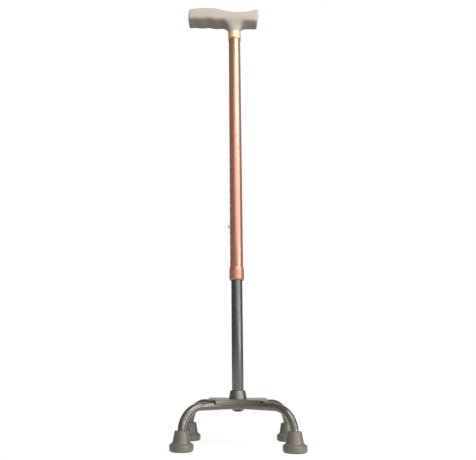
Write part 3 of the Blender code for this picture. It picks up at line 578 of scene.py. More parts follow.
def turn_outline(name, outline, rounding=0, steps=TURN_STEPS):
    """Turns an outline about the Z axis. It is closed, or else it ends on the axis."""
    if rounding:
        outline = round_corners(outline, rounding)
    bm = bmesh.new()
    angles = [math.tau * k / steps for k in range(steps)]
    rows = []
    for radius, z in outline:
        if radius < ON_AXIS:
            rows.append([bm.verts.new((0.0, 0.0, z))])
        else:
            rows.append([bm.verts.new((radius * math.cos(a), radius * math.sin(a), z)) for a in angles])
    pairs = list(zip(rows, rows[1:]))
    if len(rows[-1]) > 1:
        pairs.append((rows[-1], rows[0]))
    for upper, lower in pairs:
        for k in range(steps):
            nxt = (k + 1) % steps
            corners = [upper[k % len(upper)], lower[k % len(lower)]]
            if len(lower) > 1:
                corners.append(lower[nxt])
            if len(upper) > 1:
                corners.append(upper[nxt])
            bm.faces.new(corners)
    bmesh.ops.recalc_face_normals(bm, faces=bm.faces)
    return solid_object(name, bm)


def upright_rod(name, radius, bottom, top, steps=TURN_STEPS):
    """A solid rod on the Z axis, for cutting."""
    return turn_outline(name, [(0, top), (radius, top), (radius, bottom), (0, bottom)], steps=steps)


# %% Finishing a piece
SHARP = math.radians(38)
EDGE_ANGLE = math.radians(50)


def dress(piece, material, body, slot, *nodes):
    """Smooths a piece, gives it its finish, and puts it in the place of its nodes."""
    in_scene(piece)
    mesh = piece.data
    mesh.materials.clear()
    mesh.materials.append(material)
    mesh.polygons.foreach_set("use_smooth", [True] * len(mesh.polygons))
    mesh.set_sharp_from_angle(angle=SHARP)
    if nodes:
        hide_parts(*nodes)
    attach(piece, body)
    print(f"{piece.name}: {len(mesh.polygons)} faces on {body}")
    return piece


def baked(piece):
    """Turns a piece's modifiers into a plain mesh, and removes them."""
    in_scene(piece)
    bpy.context.view_layer.update()
    graph = bpy.context.evaluated_depsgraph_get()
    mesh = bpy.data.meshes.new_from_object(piece.evaluated_get(graph))
    piece.modifiers.clear()
    piece.data = mesh
    mesh.name = piece.name
    return piece


def cut_with(piece, cutter, operation="DIFFERENCE"):
    """Cuts or joins a piece with a helper, which is then removed."""
    in_scene(cutter)
    modifier = piece.modifiers.new("Cut", "BOOLEAN")
    modifier.operation = operation
    modifier.object = cutter
    modifier.solver = "EXACT"
    baked(piece)
    bpy.data.objects.remove(cutter, do_unlink=True)
    return piece


def break_edges(piece, width):
    """Gives the sharp edges of a piece a narrow bevel."""
    edge = piece.modifiers.new("Broken edge", "BEVEL")
    edge.width = width
    edge.segments = 2
    edge.limit_method = "ANGLE"
    edge.angle_limit = EDGE_ANGLE
    return baked(piece)


# %% [markdown]
# ## The rubber feet
#
# Each foot is a flared sleeve pushed on the end of a leg. A turned outline gives the
# sleeve, the flare and the rolled rim. The sole has a tread, so that it grips: two
# round grooves come with the outline, and short slots run out between them. The slots
# repeat round the foot, so Geometry Nodes place one box on each point of a circle,
# and the result is cut from the rubber.

# %% A ring of boxes, made with Geometry Nodes
def new_geometry_tree(name, *inputs):
    """A Geometry Nodes tree. Its inputs are given as name, socket type and default."""
    tree = bpy.data.node_groups.new(name, "GeometryNodeTree")
    tree.is_modifier = True
    tree.interface.new_socket("Geometry", in_out="INPUT", socket_type="NodeSocketGeometry")
    tree.interface.new_socket("Geometry", in_out="OUTPUT", socket_type="NodeSocketGeometry")
    tree.interface.new_socket("Finish", in_out="INPUT", socket_type="NodeSocketMaterial")
    for label, kind, default in inputs:
        socket = tree.interface.new_socket(label, in_out="INPUT", socket_type=kind)
        socket.default_value = default
    return tree, tree.nodes.new("NodeGroupInput").outputs, tree.nodes.new("NodeGroupOutput").inputs


def run_tree(piece, tree, **values):
    """Runs a tree on a piece with its inputs set by name, and keeps the plain mesh."""
    modifier = piece.modifiers.new(tree.name, "NODES")
    modifier.node_group = tree
    for item in tree.interface.items_tree:
        key = item.name.replace(" ", "_")
        if item.in_out == "INPUT" and key in values:
            modifier[item.identifier] = values[key]
    return baked(piece)


def copies_on(tree, points, piece, turn):
    """A real copy of a piece on each point."""
    inputs = {"Points": points, "Instance": piece, "Rotation": turn}
    copies = add(tree, "GeometryNodeInstanceOnPoints", inputs).outputs[0]
    return add(tree, "GeometryNodeRealizeInstances", {0: copies}).outputs[0]


def send_out(tree, shape, start, end):
    """Gives the shape its finish and makes it the result of the tree."""
    inputs = {"Geometry": shape, "Material": start["Finish"]}
    tree.links.new(add(tree, "GeometryNodeSetMaterial", inputs).outputs[0], end[0])


FLOAT, INTEGER, VECTOR = "NodeSocketFloat", "NodeSocketInt", "NodeSocketVector"

slot_ring, start, end = new_geometry_tree(
    "ring_of_boxes",
    ("Count", INTEGER, 12),
    ("Ring Radius", FLOAT, 0.012),
    ("Box Size", VECTOR, (0.006, 0.001, 0.001)),
)
ring_size = {"Vertices": start["Count"], "Radius": start["Ring Radius"]}
circle = add(slot_ring, "GeometryNodeMeshCircle", ring_size).outputs[0]
box = add(slot_ring, "GeometryNodeMeshCube", {"Size": start["Box Size"]}).outputs["Mesh"]
spot = add(slot_ring, "GeometryNodeInputPosition").outputs[0]
facing = add(slot_ring, "FunctionNodeAlignRotationToVector", {"Vector": spot}, axis="X").outputs[0]
send_out(slot_ring, copies_on(slot_ring, circle, box, facing), start, end)

# %% Feet
FOOT_X, FOOT_Y = 0.083, 0.0666
FOOT_TOP = 0.0288
FOOT_RIM_R = 0.0105
FOOT_COLLAR_R = 0.01325
FOOT_FLARE_Z = 0.0125
FOOT_FLANGE_R = 0.0180
FOOT_FLANGE_Z = 0.0095
FOOT_SOLE_R = 0.0160
FOOT_BORE_R = 0.00665
FOOT_FLOOR_Z = 0.0065
TREAD_DEPTH = 0.0010
TREAD_RINGS = (0.0124, 0.0090)
RING_MOUTH, RING_FLOOR = 0.0018, 0.0012
TREAD_SLOTS = 16
SLOT_RING_R = 0.0107
SLOT_LENGTH, SLOT_WIDTH = 0.0030, 0.0011


def foot_outline():
    """From the bottom of the bore, up over the rim, down the flare, to the sole."""
    grooves = []
    for middle in TREAD_RINGS:
        grooves += [
            (middle + RING_MOUTH / 2, 0.0, 0),
            (middle + RING_FLOOR / 2, TREAD_DEPTH, 0),
            (middle - RING_FLOOR / 2, TREAD_DEPTH, 0),
            (middle - RING_MOUTH / 2, 0.0, 0),
        ]
    return [
        (0.0, FOOT_FLOOR_Z),
        (FOOT_BORE_R, FOOT_FLOOR_Z, 0.0005),
        (FOOT_BORE_R, FOOT_TOP, 0.0006),
        (FOOT_RIM_R, FOOT_TOP, 0.0012),
        (FOOT_COLLAR_R, FOOT_FLARE_Z, 0.0050),
        (FOOT_FLANGE_R, FOOT_FLANGE_Z, 0.0020),
        (FOOT_FLANGE_R, FOOT_FLANGE_R - FOOT_SOLE_R, 0.0008),
        (FOOT_SOLE_R, 0.0, 0.0006),
        *grooves,
        (0.0, 0.0),
    ]


slot_size = (SLOT_LENGTH, SLOT_WIDTH, 2 * TREAD_DEPTH)
for end_name, y in (("front", -FOOT_Y), ("rear", FOOT_Y)):
    for side, x in (("left", -FOOT_X), ("right", FOOT_X)):
        foot = turn_outline(f"rubber_foot_{end_name}_{side}", foot_outline(), rounding=5)
        slots = drawn_object("slots", [])
        run_tree(
            slots, slot_ring, Count=TREAD_SLOTS, Ring_Radius=SLOT_RING_R,
            Box_Size=slot_size, Finish=grey_rubber,
        )
        cut_with(foot, slots)
        foot.data.transform(Matrix.Translation((x, y, 0.0)))
        dress(foot, grey_rubber, "base", "grey_rubber", f"foot_{end_name}_{side}")

# %% [markdown]
# ## The leg tubes
#
# The base is two bent tubes, and each makes two legs. A tube that follows a path is
# the plainest work for Geometry Nodes: a line of points becomes a curve, and a circle
# is swept along it. The path is worked out here from the bends: a wide arc seen from
# above that points at the foot, and then a tight bend down into it.

# %% A round tube along a path, made with Geometry Nodes
swept_tube, start, end = new_geometry_tree(
    "swept_tube", ("Tube Radius", FLOAT, 0.006), ("Sides", INTEGER, 32)
)
ring_size = {"Resolution": start["Sides"], "Radius": start["Tube Radius"]}
ring = add(swept_tube, "GeometryNodeCurvePrimitiveCircle", ring_size).outputs[0]
middle_line = add(swept_tube, "GeometryNodeMeshToCurve", {0: start["Geometry"]}).outputs[0]
sweep = {"Curve": middle_line, "Profile Curve": ring, "Fill Caps": True}
send_out(swept_tube, add(swept_tube, "GeometryNodeCurveToMesh", sweep).outputs[0], start, end)


def path_object(name, points):
    """A line through the points, for a tube to follow."""
    return drawn_object(name, points, edges=[(i, i + 1) for i in range(len(points) - 1)])


# %% Leg tubes
LEG_R = 0.00635
LEG_MID_Y = 0.0280
LEG_BEND_R = 0.0342
LEG_BEND_Z = 0.0617
LEG_ARCH = 0.0013
LEG_END_Z = 0.0086
ARC_POINTS, BEND_POINTS = 28, 18
LEG_SIDES = 40

leg_turn = 2 * math.atan2(FOOT_Y - LEG_MID_Y, FOOT_X + LEG_BEND_R)
leg_plan_r = (FOOT_X - LEG_BEND_R * math.cos(leg_turn)) / math.sin(leg_turn)


def half_leg_path():
    """The middle line from the centre of the base to the right foot."""
    points = []
    for k in range(ARC_POINTS + 1):
        share = k / ARC_POINTS
        turn = leg_turn * share
        x = leg_plan_r * math.sin(turn)
        y = LEG_MID_Y + leg_plan_r * (1 - math.cos(turn))
        points.append((x, y, LEG_BEND_Z + LEG_ARCH * (1 + math.cos(math.pi * share)) / 2))
    bend_x, bend_y = points[-1][:2]
    for k in range(1, BEND_POINTS + 1):
        down = math.pi / 2 * k / BEND_POINTS
        out = LEG_BEND_R * math.sin(down)
        x = bend_x + out * math.cos(leg_turn)
        y = bend_y + out * math.sin(leg_turn)
        points.append((x, y, LEG_BEND_Z - LEG_BEND_R * (1 - math.cos(down))))
    points.append((FOOT_X, FOOT_Y, LEG_END_Z))
    return points


right_half = half_leg_path()
left_half = [(-x, y, z) for x, y, z in reversed(right_half[1:])]
for end_name, way in (("front", -1), ("rear", 1)):
    path = [(x, way * y, z) for x, y, z in left_half + right_half]
    leg = path_object(f"leg_tube_{end_name}", path)
    run_tree(leg, swept_tube, Tube_Radius=LEG_R, Sides=LEG_SIDES, Finish=grey_paint)
    dress(leg, grey_paint, "base", "grey_paint", f"{end_name}_leg_tube")

# %% [markdown]
# ## The bridge plate
#
# A folded steel plate lies over both tubes, with its two long edges turned down. It
# is drawn as rows of points across the plate, joined to a sheet and then given a
# thickness, so the folds keep their true radius. The corners beyond the folds are cut
# away, a thin weld bead joins each folded edge to its tube, and a small bevel breaks
# each edge.

# %% Sheets and boxes
def sheet_object(name, rows):
    """An open sheet through rows of points, with the same count in each row."""
    count = len(rows[0])
    faces = [
        (first + i, first + i + 1, first + count + i + 1, first + count + i)
        for first in range(0, (len(rows) - 1) * count, count)
        for i in range(count - 1)
    ]
    return drawn_object(name, [point for row in rows for point in row], faces=faces)


def thicken(piece, thickness):
    """Gives a sheet its thickness, half of it to each side."""
    sheet = piece.modifiers.new("Thickness", "SOLIDIFY")
    sheet.thickness = thickness
    sheet.offset = 0.0
    sheet.use_even_offset = True
    return baked(piece)


def box_mesh(name, boxes):
    """Plain boxes, given by their lowest and highest corners, in one mesh."""
    bm = bmesh.new()
    for low, high in boxes:
        made = bmesh.ops.create_cube(bm, size=1.0)
        size = Vector(high) - Vector(low)
        middle = (Vector(high) + Vector(low)) / 2
        fit = Matrix.Translation(middle) @ Matrix.Diagonal((*size, 1.0))
        bmesh.ops.transform(bm, matrix=fit, verts=made["verts"])
    return solid_object(name, bm)


# %% Bridge plate
PLATE_LENGTH, PLATE_T = 0.094, 0.0015
FLANGE_LENGTH, FLANGE_DEPTH = 0.068, 0.0070
FLANGE_BEND_R = 0.0022
PLATE_STEPS, BEND_STEPS = 24, 10
PLATE_BOTTOM = LEG_BEND_Z + LEG_ARCH + LEG_R + FIT
PLATE_TOP = PLATE_BOTTOM + PLATE_T
SOCKET_HOLE_R = 0.0116
CUT_END_X, CUT_PAST_Y = 0.05, 0.012
CUT_LOW, CUT_HIGH = 0.05, 0.082
WELD_R = 0.0010
WELD_OUT, WELD_UP = 0.0005, 0.0002


def leg_outer_y(x):
    """How far from the middle the outside of a leg tube is, at x."""
    turn = math.asin(min(x / leg_plan_r, math.sin(leg_turn)))
    return LEG_MID_Y + leg_plan_r * (1 - math.cos(turn)) + LEG_R / math.cos(turn)


def flange_inner_y(x):
    """How far from the middle the inside of a folded edge is, at x."""
    return leg_outer_y(min(abs(x), FLANGE_LENGTH / 2)) + FIT


def plate_line(x):
    """The middle line of the folded sheet at x. Its folded edges follow the tubes."""
    bend_y = flange_inner_y(x) - FLANGE_BEND_R
    bend_z = PLATE_BOTTOM - FLANGE_BEND_R
    bend_mid = FLANGE_BEND_R + PLATE_T / 2
    turns = [math.pi / 2 * k / BEND_STEPS for k in range(BEND_STEPS + 1)]
    right = [(bend_y + bend_mid * math.sin(a), bend_z + bend_mid * math.cos(a)) for a in turns]
    right.append((bend_y + bend_mid, PLATE_TOP - FLANGE_DEPTH))
    left = [(-y, z) for y, z in reversed(right)]
    return [(x, y, z) for y, z in left + right]


flange_half, plate_half = FLANGE_LENGTH / 2, PLATE_LENGTH / 2
places = [flange_half * (2 * k / PLATE_STEPS - 1) for k in range(PLATE_STEPS + 1)]
plate = sheet_object("folded_plate", [plate_line(x) for x in (-plate_half, *places, plate_half)])
thicken(plate, PLATE_T)

inside = flange_inner_y(flange_half) - FLANGE_BEND_R
outside = inside + CUT_PAST_Y
corners = [
    ((x[0], y[0], CUT_LOW), (x[1], y[1], CUT_HIGH))
    for x in ((-CUT_END_X, -flange_half), (flange_half, CUT_END_X))
    for y in ((-outside, -inside), (inside, outside))
]
cut_with(plate, box_mesh("plate_corners", corners))

weld_z = PLATE_TOP - FLANGE_DEPTH + WELD_UP
for side in (-1, 1):
    path = [(x, side * (flange_inner_y(x) + WELD_OUT), weld_z) for x in places]
    bead = path_object("weld_bead", path)
    run_tree(bead, swept_tube, Tube_Radius=WELD_R, Sides=12, Finish=plate_paint)
    cut_with(plate, bead, "UNION")
cut_with(plate, upright_rod("plate_hole", SOCKET_HOLE_R, CUT_LOW, CUT_HIGH))
break_edges(plate, 0.00035)
dress(plate, plate_paint, "base", "grey_paint", "bridge_plate")

# %% [markdown]
# ## The hub
#
# A steel socket goes through the plate and holds the lower tube, and a dark tapered
# collar hides it. Below the plate, a domed washer and the head of the bolt close the
# tube; their zinc steel is painted nearly black, as painted shade under the plate.
# All of them are turned parts.

# %% Collar, washer and bolt
LOWER_R = 0.0095
SOCKET_R = 0.0113
LOWER_BOTTOM = PLATE_BOTTOM - 0.0105
COLLAR_TOP_R, COLLAR_R = 0.01215, 0.0144
COLLAR_BOTTOM = PLATE_TOP + FIT
COLLAR_TOP = COLLAR_BOTTOM + 0.0125
COLLAR_ROOF = COLLAR_TOP - 0.0026
CUP_FLAT_R = 0.0082
CUP_TOP = LOWER_BOTTOM - FIT
CUP_BOTTOM = CUP_TOP - 0.0060
CUP_DOME = 0.0028
CUP_HOLE_R = 0.0043
BOLT_R, BOLT_HEAD_R = 0.0040, 0.0060
BOLT_TOP = 0.0947
BOLT_HEAD_TOP = CUP_BOTTOM - FIT
BOLT_HEAD_BOTTOM = BOLT_HEAD_TOP - 0.0012
HEX_R, HEX_ROOF = 0.0023, BOLT_HEAD_TOP + 0.0008
PAST = 0.002

around_socket = SOCKET_R + FIT
around_tube = LOWER_R + FIT
collar_line = [
    (COLLAR_TOP_R, COLLAR_TOP, 0.0024),
    (COLLAR_R, COLLAR_BOTTOM + 0.0004, 0.0004),
    (COLLAR_R - 0.0002, COLLAR_BOTTOM, 0),
    (around_socket, COLLAR_BOTTOM, 0),
    (around_socket, COLLAR_ROOF, 0),
    (around_tube, COLLAR_ROOF, 0),
    (around_tube, COLLAR_TOP, 0.0005),
]
collar = turn_outline("tapered_collar", collar_line, rounding=6)
dress(collar, collar_grey, "base", "gunmetal_anodised", "hub_collar")

cup_line = [
    (SOCKET_R, CUP_TOP, 0.0003),
    (SOCKET_R, CUP_BOTTOM + CUP_DOME, 0.0020),
    (CUP_FLAT_R, CUP_BOTTOM, 0.0012),
    (CUP_HOLE_R, CUP_BOTTOM, 0.0003),
    (CUP_HOLE_R, CUP_TOP, 0.0003),
]
cup = turn_outline("domed_washer", cup_line, rounding=6)
# The washer's zinc steel gets painted shade.
dress(cup, steel_painted_shade, "base", "zinc_steel", "base_washer")

bolt_line = [
    (0.0, BOLT_TOP),
    (BOLT_R, BOLT_TOP, 0.0006),
    (BOLT_R, BOLT_HEAD_TOP, 0.0002),
    (BOLT_HEAD_R, BOLT_HEAD_TOP, 0.0003),
    (BOLT_HEAD_R, BOLT_HEAD_BOTTOM + 0.0006, 0.0006),
    (BOLT_R, BOLT_HEAD_BOTTOM, 0.0006),
    (0.0, BOLT_HEAD_BOTTOM),
]
bolt = turn_outline("dome_head_bolt", bolt_line, rounding=4, steps=64)
cut_with(bolt, upright_rod("hex_recess", HEX_R, BOLT_HEAD_BOTTOM - PAST, HEX_ROOF, steps=6))
# The bolt head gets the same painted shade.
dress(bolt, steel_painted_shade, "base", "zinc_steel", "base_bolt")

# %% [markdown]
# ## The lower tube and the snap button
#
# The lower tube stands in the hub and slides in the upper one. A spring button near
# its top reaches out through one of the holes of the upper tube and sets the height.
# The button is turned about its own axis, which lies along X, so its outline is drawn
# upright and then turned over. A strip of spring steel, bent to a U, pushes the button
# out. When the button goes in, the strip is squeezed, and its far side stays in place.

# %% Lower tube
LOWER_WALL = 0.0012
LOWER_BORE_R = LOWER_R - LOWER_WALL
LOWER_TOP = LOWER_BOTTOM + 0.339
BUTTON_Z = LOWER_TOP - 0.0385
BUTTON_R = 0.0031
HOLE_R = BUTTON_R + FIT
SMALL_STEPS = 48


def turned_tube(name, bore, outer, bottom, top):
    """A plain tube with its four edges a little rounded."""
    corners = ((outer, top), (outer, bottom), (bore, bottom), (bore, top))
    return turn_outline(name, [(*corner, 0.0002) for corner in corners], rounding=2)


def sideways_rod(name, radius, length, middle, axis):
    """A rod along X or Y, for cutting a round hole in a tube."""
    rod = upright_rod(name, radius, -length / 2, length / 2, SMALL_STEPS)
    over = Matrix.Rotation(math.pi / 2, 4, "Y" if axis == "X" else "X")
    rod.data.transform(Matrix.Translation(middle) @ over)
    return rod


lower = turned_tube("inner_tube", LOWER_BORE_R, LOWER_R, LOWER_BOTTOM, LOWER_TOP)
cut_with(lower, sideways_rod("button_hole", HOLE_R, LOWER_R, (-LOWER_R, 0, BUTTON_Z), "X"))
dress(lower, gunmetal, "base", "gunmetal_anodised", "lower_tube")

# %% Snap button
UPPER_R = 0.0111
BUTTON_TIP = UPPER_R + 0.0034
BUTTON_DOME, DOME_STEPS = 0.0016, 10
BUTTON_FLANGE_R, BUTTON_FLANGE_T = 0.0038, 0.0008
TAIL_R, TAIL = 0.0015, 0.0014

flange_front = math.sqrt(LOWER_BORE_R**2 - BUTTON_FLANGE_R**2) - FIT
flange_back = flange_front - BUTTON_FLANGE_T
turns = [math.pi / 2 * k / DOME_STEPS for k in range(DOME_STEPS + 1)]
dome = [(BUTTON_R * math.sin(a), BUTTON_TIP - BUTTON_DOME * (1 - math.cos(a))) for a in turns]
button_line = dome + [
    (BUTTON_R, flange_front),
    (BUTTON_FLANGE_R, flange_front),
    (BUTTON_FLANGE_R, flange_back),
    (TAIL_R, flange_back),
    (TAIL_R, flange_back - TAIL),
    (0.0, flange_back - TAIL),
]
button = turn_outline("steel_button", button_line, steps=SMALL_STEPS)
over = Matrix.Rotation(-math.pi / 2, 4, "Y")
button.data.transform(Matrix.Translation((0, 0, BUTTON_Z)) @ over)
# The button's finish carries painted reflection of the copper tube.
dress(button, button_painted_reflection, "button", "zinc_steel", "snap_button")

# %% Button spring
SPRING_T, SPRING_WIDTH = 0.0006, 0.0080
SPRING_TOP = BUTTON_Z + 0.0060
SPRING_BEND_Z = BUTTON_Z - 0.0240
SPRING_STEPS = 24
EYE_R = TAIL_R + FIT

spring_near = -(flange_back - FIT - SPRING_T / 2)
spring_far = math.sqrt(LOWER_BORE_R**2 - (SPRING_WIDTH / 2) ** 2) - FIT - SPRING_T / 2
spring_r = (spring_far - spring_near) / 2
spring_mid = spring_far - spring_r
turns = [math.pi * (1 + k / SPRING_STEPS) for k in range(SPRING_STEPS + 1)]
bend = [(spring_mid + spring_r * math.cos(a), SPRING_BEND_Z + spring_r * math.sin(a)) for a in turns]
side_line = [(spring_near, SPRING_TOP), *bend, (spring_far, SPRING_TOP)]
edges = [[(x, y, z) for x, z in side_line] for y in (-SPRING_WIDTH / 2, SPRING_WIDTH / 2)]
spring = thicken(sheet_object("bent_spring", edges), SPRING_T)
cut_with(spring, sideways_rod("spring_eye", EYE_R, LOWER_BORE_R / 2, (spring_near, 0, BUTTON_Z), "X"))
dress(spring, spring_steel, "base", "spring_steel", "button_spring")
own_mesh(spring)

# %% [markdown]
# ## The upper tube
#
# The row of button holes is what repeats here, so Geometry Nodes place one short rod
# on each point of an upright line, and the whole row is cut from the tube at once. A
# hole drilled in thin tube has a broken edge, which the bevel gives.

# %% A row of rods, made with Geometry Nodes
rod_row, start, end = new_geometry_tree(
    "row_of_rods",
    ("Count", INTEGER, 13),
    ("Pitch", FLOAT, 0.019),
    ("First Height", FLOAT, 0.3),
    ("Side", FLOAT, -0.01),
    ("Rod Radius", FLOAT, 0.003),
    ("Rod Length", FLOAT, 0.01),
)
step = add(rod_row, "ShaderNodeCombineXYZ", {2: start["Pitch"]}).outputs[0]
first = add(rod_row, "ShaderNodeCombineXYZ", {0: start["Side"], 2: start["First Height"]}).outputs[0]
line_size = {"Count": start["Count"], "Start Location": first, "Offset": step}
column = add(rod_row, "GeometryNodeMeshLine", line_size).outputs[0]
rod_size = {"Vertices": 40, "Radius": start["Rod Radius"], "Depth": start["Rod Length"]}
rod = add(rod_row, "GeometryNodeMeshCylinder", rod_size).outputs["Mesh"]
send_out(rod_row, copies_on(rod_row, column, rod, (0.0, math.pi / 2, 0.0)), start, end)

# %% Upper tube
UPPER_WALL = 0.0012
UPPER_BORE_R = UPPER_R - UPPER_WALL
HOLE_PITCH, HOLE_COUNT, HOLE_IN_USE = 0.01905, 13, 3
FIRST_HOLE_Z = BUTTON_Z - HOLE_IN_USE * HOLE_PITCH
UPPER_BOTTOM = FIRST_HOLE_Z - 0.030
UPPER_TOP = UPPER_BOTTOM + 0.4765
RING_BOTTOM = UPPER_TOP - 0.015
SCREW_Z = RING_BOTTOM - 0.015
SCREW_R = 0.0016
SCREW_HOLE_R = SCREW_R + FIT

upper = turned_tube("outer_tube", UPPER_BORE_R, UPPER_R, UPPER_BOTTOM, UPPER_TOP)
holes = drawn_object("holes", [])
run_tree(
    holes, rod_row, Count=HOLE_COUNT, Pitch=HOLE_PITCH, First_Height=FIRST_HOLE_Z,
    Side=-UPPER_R, Rod_Radius=HOLE_R, Rod_Length=UPPER_R, Finish=copper_tube,
)
cut_with(upper, holes)
cut_with(upper, sideways_rod("screw_hole", SCREW_HOLE_R, UPPER_R, (0, UPPER_R, SCREW_Z), "Y"))
break_edges(upper, 0.00018)
dress(upper, copper_tube, "shaft", "copper_anodised", "upper_tube")

# %% [markdown]
# ## The lock nut
#
# The nut screws up on the bottom of the upper tube and squeezes a split ring on the
# lower one, which stops the rattle. It has a soft shoulder and two shallow grooves.

# %% Lock nut
LOCK_BOTTOM = UPPER_BOTTOM - 0.0085
LOCK_TOP = LOCK_BOTTOM + 0.0225
LOCK_R, LOCK_TOP_R, LOCK_FOOT_R = 0.0126, 0.0119, 0.0120
LOCK_BORE_R = UPPER_R + FIT
LOCK_MOUTH_R = LOWER_R + 2 * FIT
LOCK_FLOOR = LOCK_BOTTOM + 0.0016
LOCK_SHOULDER, LOCK_CHAMFER = 0.0050, 0.0026
GROOVES_UP = (0.0128, 0.0092)
GROOVE_DEPTH, GROOVE_WIDTH, GROOVE_FLAT = 0.00032, 0.0014, 0.0004
GRIP_RING_TOP_R = 0.0108

lock_line = [
    (LOCK_BORE_R, LOCK_TOP, 0.0001),
    (LOCK_TOP_R, LOCK_TOP, 0.0007),
    (LOCK_R - 0.0002, LOCK_TOP - LOCK_SHOULDER, 0.004),
]
for up in GROOVES_UP:
    z = LOCK_BOTTOM + up
    lock_line += [
        (LOCK_R, z + GROOVE_WIDTH / 2, 0.0003),
        (LOCK_R - GROOVE_DEPTH, z + GROOVE_FLAT / 2, 0.0002),
        (LOCK_R - GROOVE_DEPTH, z - GROOVE_FLAT / 2, 0.0002),
        (LOCK_R, z - GROOVE_WIDTH / 2, 0.0003),
    ]
lock_line += [
    (LOCK_R, LOCK_BOTTOM + LOCK_CHAMFER, 0.0012),
    (LOCK_FOOT_R, LOCK_BOTTOM, 0.0006),
    (LOCK_MOUTH_R, LOCK_BOTTOM, 0.0004),
    (LOCK_MOUTH_R, LOCK_FLOOR, 0),
    (GRIP_RING_TOP_R, LOCK_FLOOR, 0),
    (LOCK_BORE_R, UPPER_BOTTOM - FIT, 0),
]
nut = turn_outline("ring_nut", lock_line, rounding=4)
dress(nut, copper_turned, "lock_nut", "copper_anodised", "lock_nut")

# %% [markdown]
# ## The gold ring and the handle screw
#
# A thin plated ring covers the joint between tube and handle. A small pan-head screw
# at the back holds the handle's spigot in the tube.

# %% Gold ring
RING_R = UPPER_R + 0.0012
RING_WAIST_R = RING_R - 0.00015
RING_BEAD = 0.0019

ring_line = [
    (RING_R - 0.0001, UPPER_TOP, 0.0004),
    (RING_R, UPPER_TOP - 0.0007, 0.0004),
    (RING_WAIST_R, UPPER_TOP - RING_BEAD, 0.0004),
    (RING_WAIST_R, RING_BOTTOM + RING_BEAD, 0.0004),
    (RING_R, RING_BOTTOM + 0.0009, 0.0004),
    (RING_R - 0.0003, RING_BOTTOM, 0.0004),
    (UPPER_R + FIT, RING_BOTTOM, 0),
    (UPPER_R + FIT, UPPER_TOP, 0),
]
ring_piece = turn_outline("gold_ring", ring_line, rounding=3)
dress(ring_piece, gold_plate, "shaft", "gold_plate", "handle_ring")

# %% Handle screw with a cross recess
SCREW_HEAD_R = 0.0032
CROSS_LONG, CROSS_WIDE = 0.0019, 0.00035
UNDER_HEAD = UPPER_R + FIT
SCREW_TOP = UNDER_HEAD + 0.0018
SCREW_END = UNDER_HEAD - 0.0050
CROSS_FLOOR, CROSS_ROOF = UNDER_HEAD + 0.0006, UNDER_HEAD + 0.0030

screw_line = [
    (0.0, SCREW_TOP),
    (SCREW_HEAD_R, SCREW_TOP, 0.0013),
    (SCREW_HEAD_R, UNDER_HEAD, 0.0002),
    (SCREW_R, UNDER_HEAD, 0),
    (SCREW_R, SCREW_END, 0.0005),
    (0.0, SCREW_END),
]
screw = turn_outline("pan_head_screw", screw_line, rounding=4, steps=40)
for x, y in ((CROSS_LONG, CROSS_WIDE), (CROSS_WIDE, CROSS_LONG)):
    cut_with(screw, box_mesh("recess", [((-x, -y, CROSS_FLOOR), (x, y, CROSS_ROOF))]))
over = Matrix.Rotation(-math.pi / 2, 4, "X")
screw.data.transform(Matrix.Translation((0, 0, SCREW_Z)) @ over)
dress(screw, zinc_steel, "shaft", "zinc_steel", "handle_screw")

# %% [markdown]
# ## The handle
#
# The grip is moulded in one piece with its neck. Its front and back are nearly flat,
# its top is round, and its underside has finger grooves and a rather sharp lower
# edge. A shape like this has no simple rule, so it is built as a cage: a ring of
# twelve points at each station along the grip. The faces under the middle are left
# out, and the open patch grows down as the neck. Subdivision Surface then rounds all
# of it. Where two stations lie close together, the surface stays crisp.

# %% The handle's cage
HANDLE_Z = UPPER_TOP + 0.0354
NECK_FOOT = UPPER_TOP + FIT
HANDLE_LONG, HANDLE_SHORT = 0.0894, 0.0463
HANDLE_HEIGHT, HANDLE_DEPTH = 0.0320, 0.0340
END_ROUND = 0.0022
HANDLE_TILT = math.tan(math.radians(2.5))
LONG_END_LEAN = math.tan(math.radians(2.9))
SHORT_END_LEAN = math.tan(math.radians(6.5))
NECK_ROOT = 0.0200
GROOVE_PITCH = 0.0245

# Twelve points round the grip, as shares of half its depth and half its height.
SECTION = (
    (1.00, 0.00), (0.98, 0.55), (0.62, 0.96), (0.00, 1.02), (-0.62, 0.96), (-0.98, 0.55),
    (-1.00, 0.00), (-1.02, -0.745), (-0.84, -1.02), (0.00, -1.00), (0.84, -1.02), (1.02, -0.745),
)
ridge = -NECK_ROOT - GROOVE_PITCH * 0.75
arm = HANDLE_SHORT - NECK_ROOT
# Each station: its place along the grip, and its top, underside and depth as shares.
STATIONS = (
    (-HANDLE_LONG, 0.68, 0.84, 0.90),
    (-HANDLE_LONG + END_ROUND, 0.80, 0.95, 1.00),
    (ridge - 1.5 * GROOVE_PITCH, 0.96, 0.82, 1.00),
    (ridge - GROOVE_PITCH, 1.04, 0.99, 1.02),
    (ridge - 0.5 * GROOVE_PITCH, 1.04, 0.76, 1.03),
    (ridge, 1.04, 1.05, 1.02),
    (-NECK_ROOT - 0.007, 0.84, 0.96, 1.00),
    (-NECK_ROOT, 0.64, 1.00, 0.98),
    (0.0, 0.27, 1.02, 0.96),
    (NECK_ROOT, 0.37, 1.04, 0.95),
    (NECK_ROOT + 0.35 * arm, 0.53, 1.06, 0.93),
    (NECK_ROOT + 0.70 * arm, 0.77, 1.08, 0.92),
    (HANDLE_SHORT - END_ROUND, 0.98, 1.08, 0.91),
    (HANDLE_SHORT, 0.91, 0.96, 0.80),
)
FIRST_UNDER, LAST_UNDER = 7, 11
AROUND = len(SECTION)
# Each level of the neck: half its width and depth, how square it is, and how far down.
NECK_LEVELS = (
    (0.0165, 0.0148, 4.5, 0.18),
    (0.0134, 0.0132, 3.2, 0.50),
    (RING_R, RING_R, 2.0, 1.00),
)


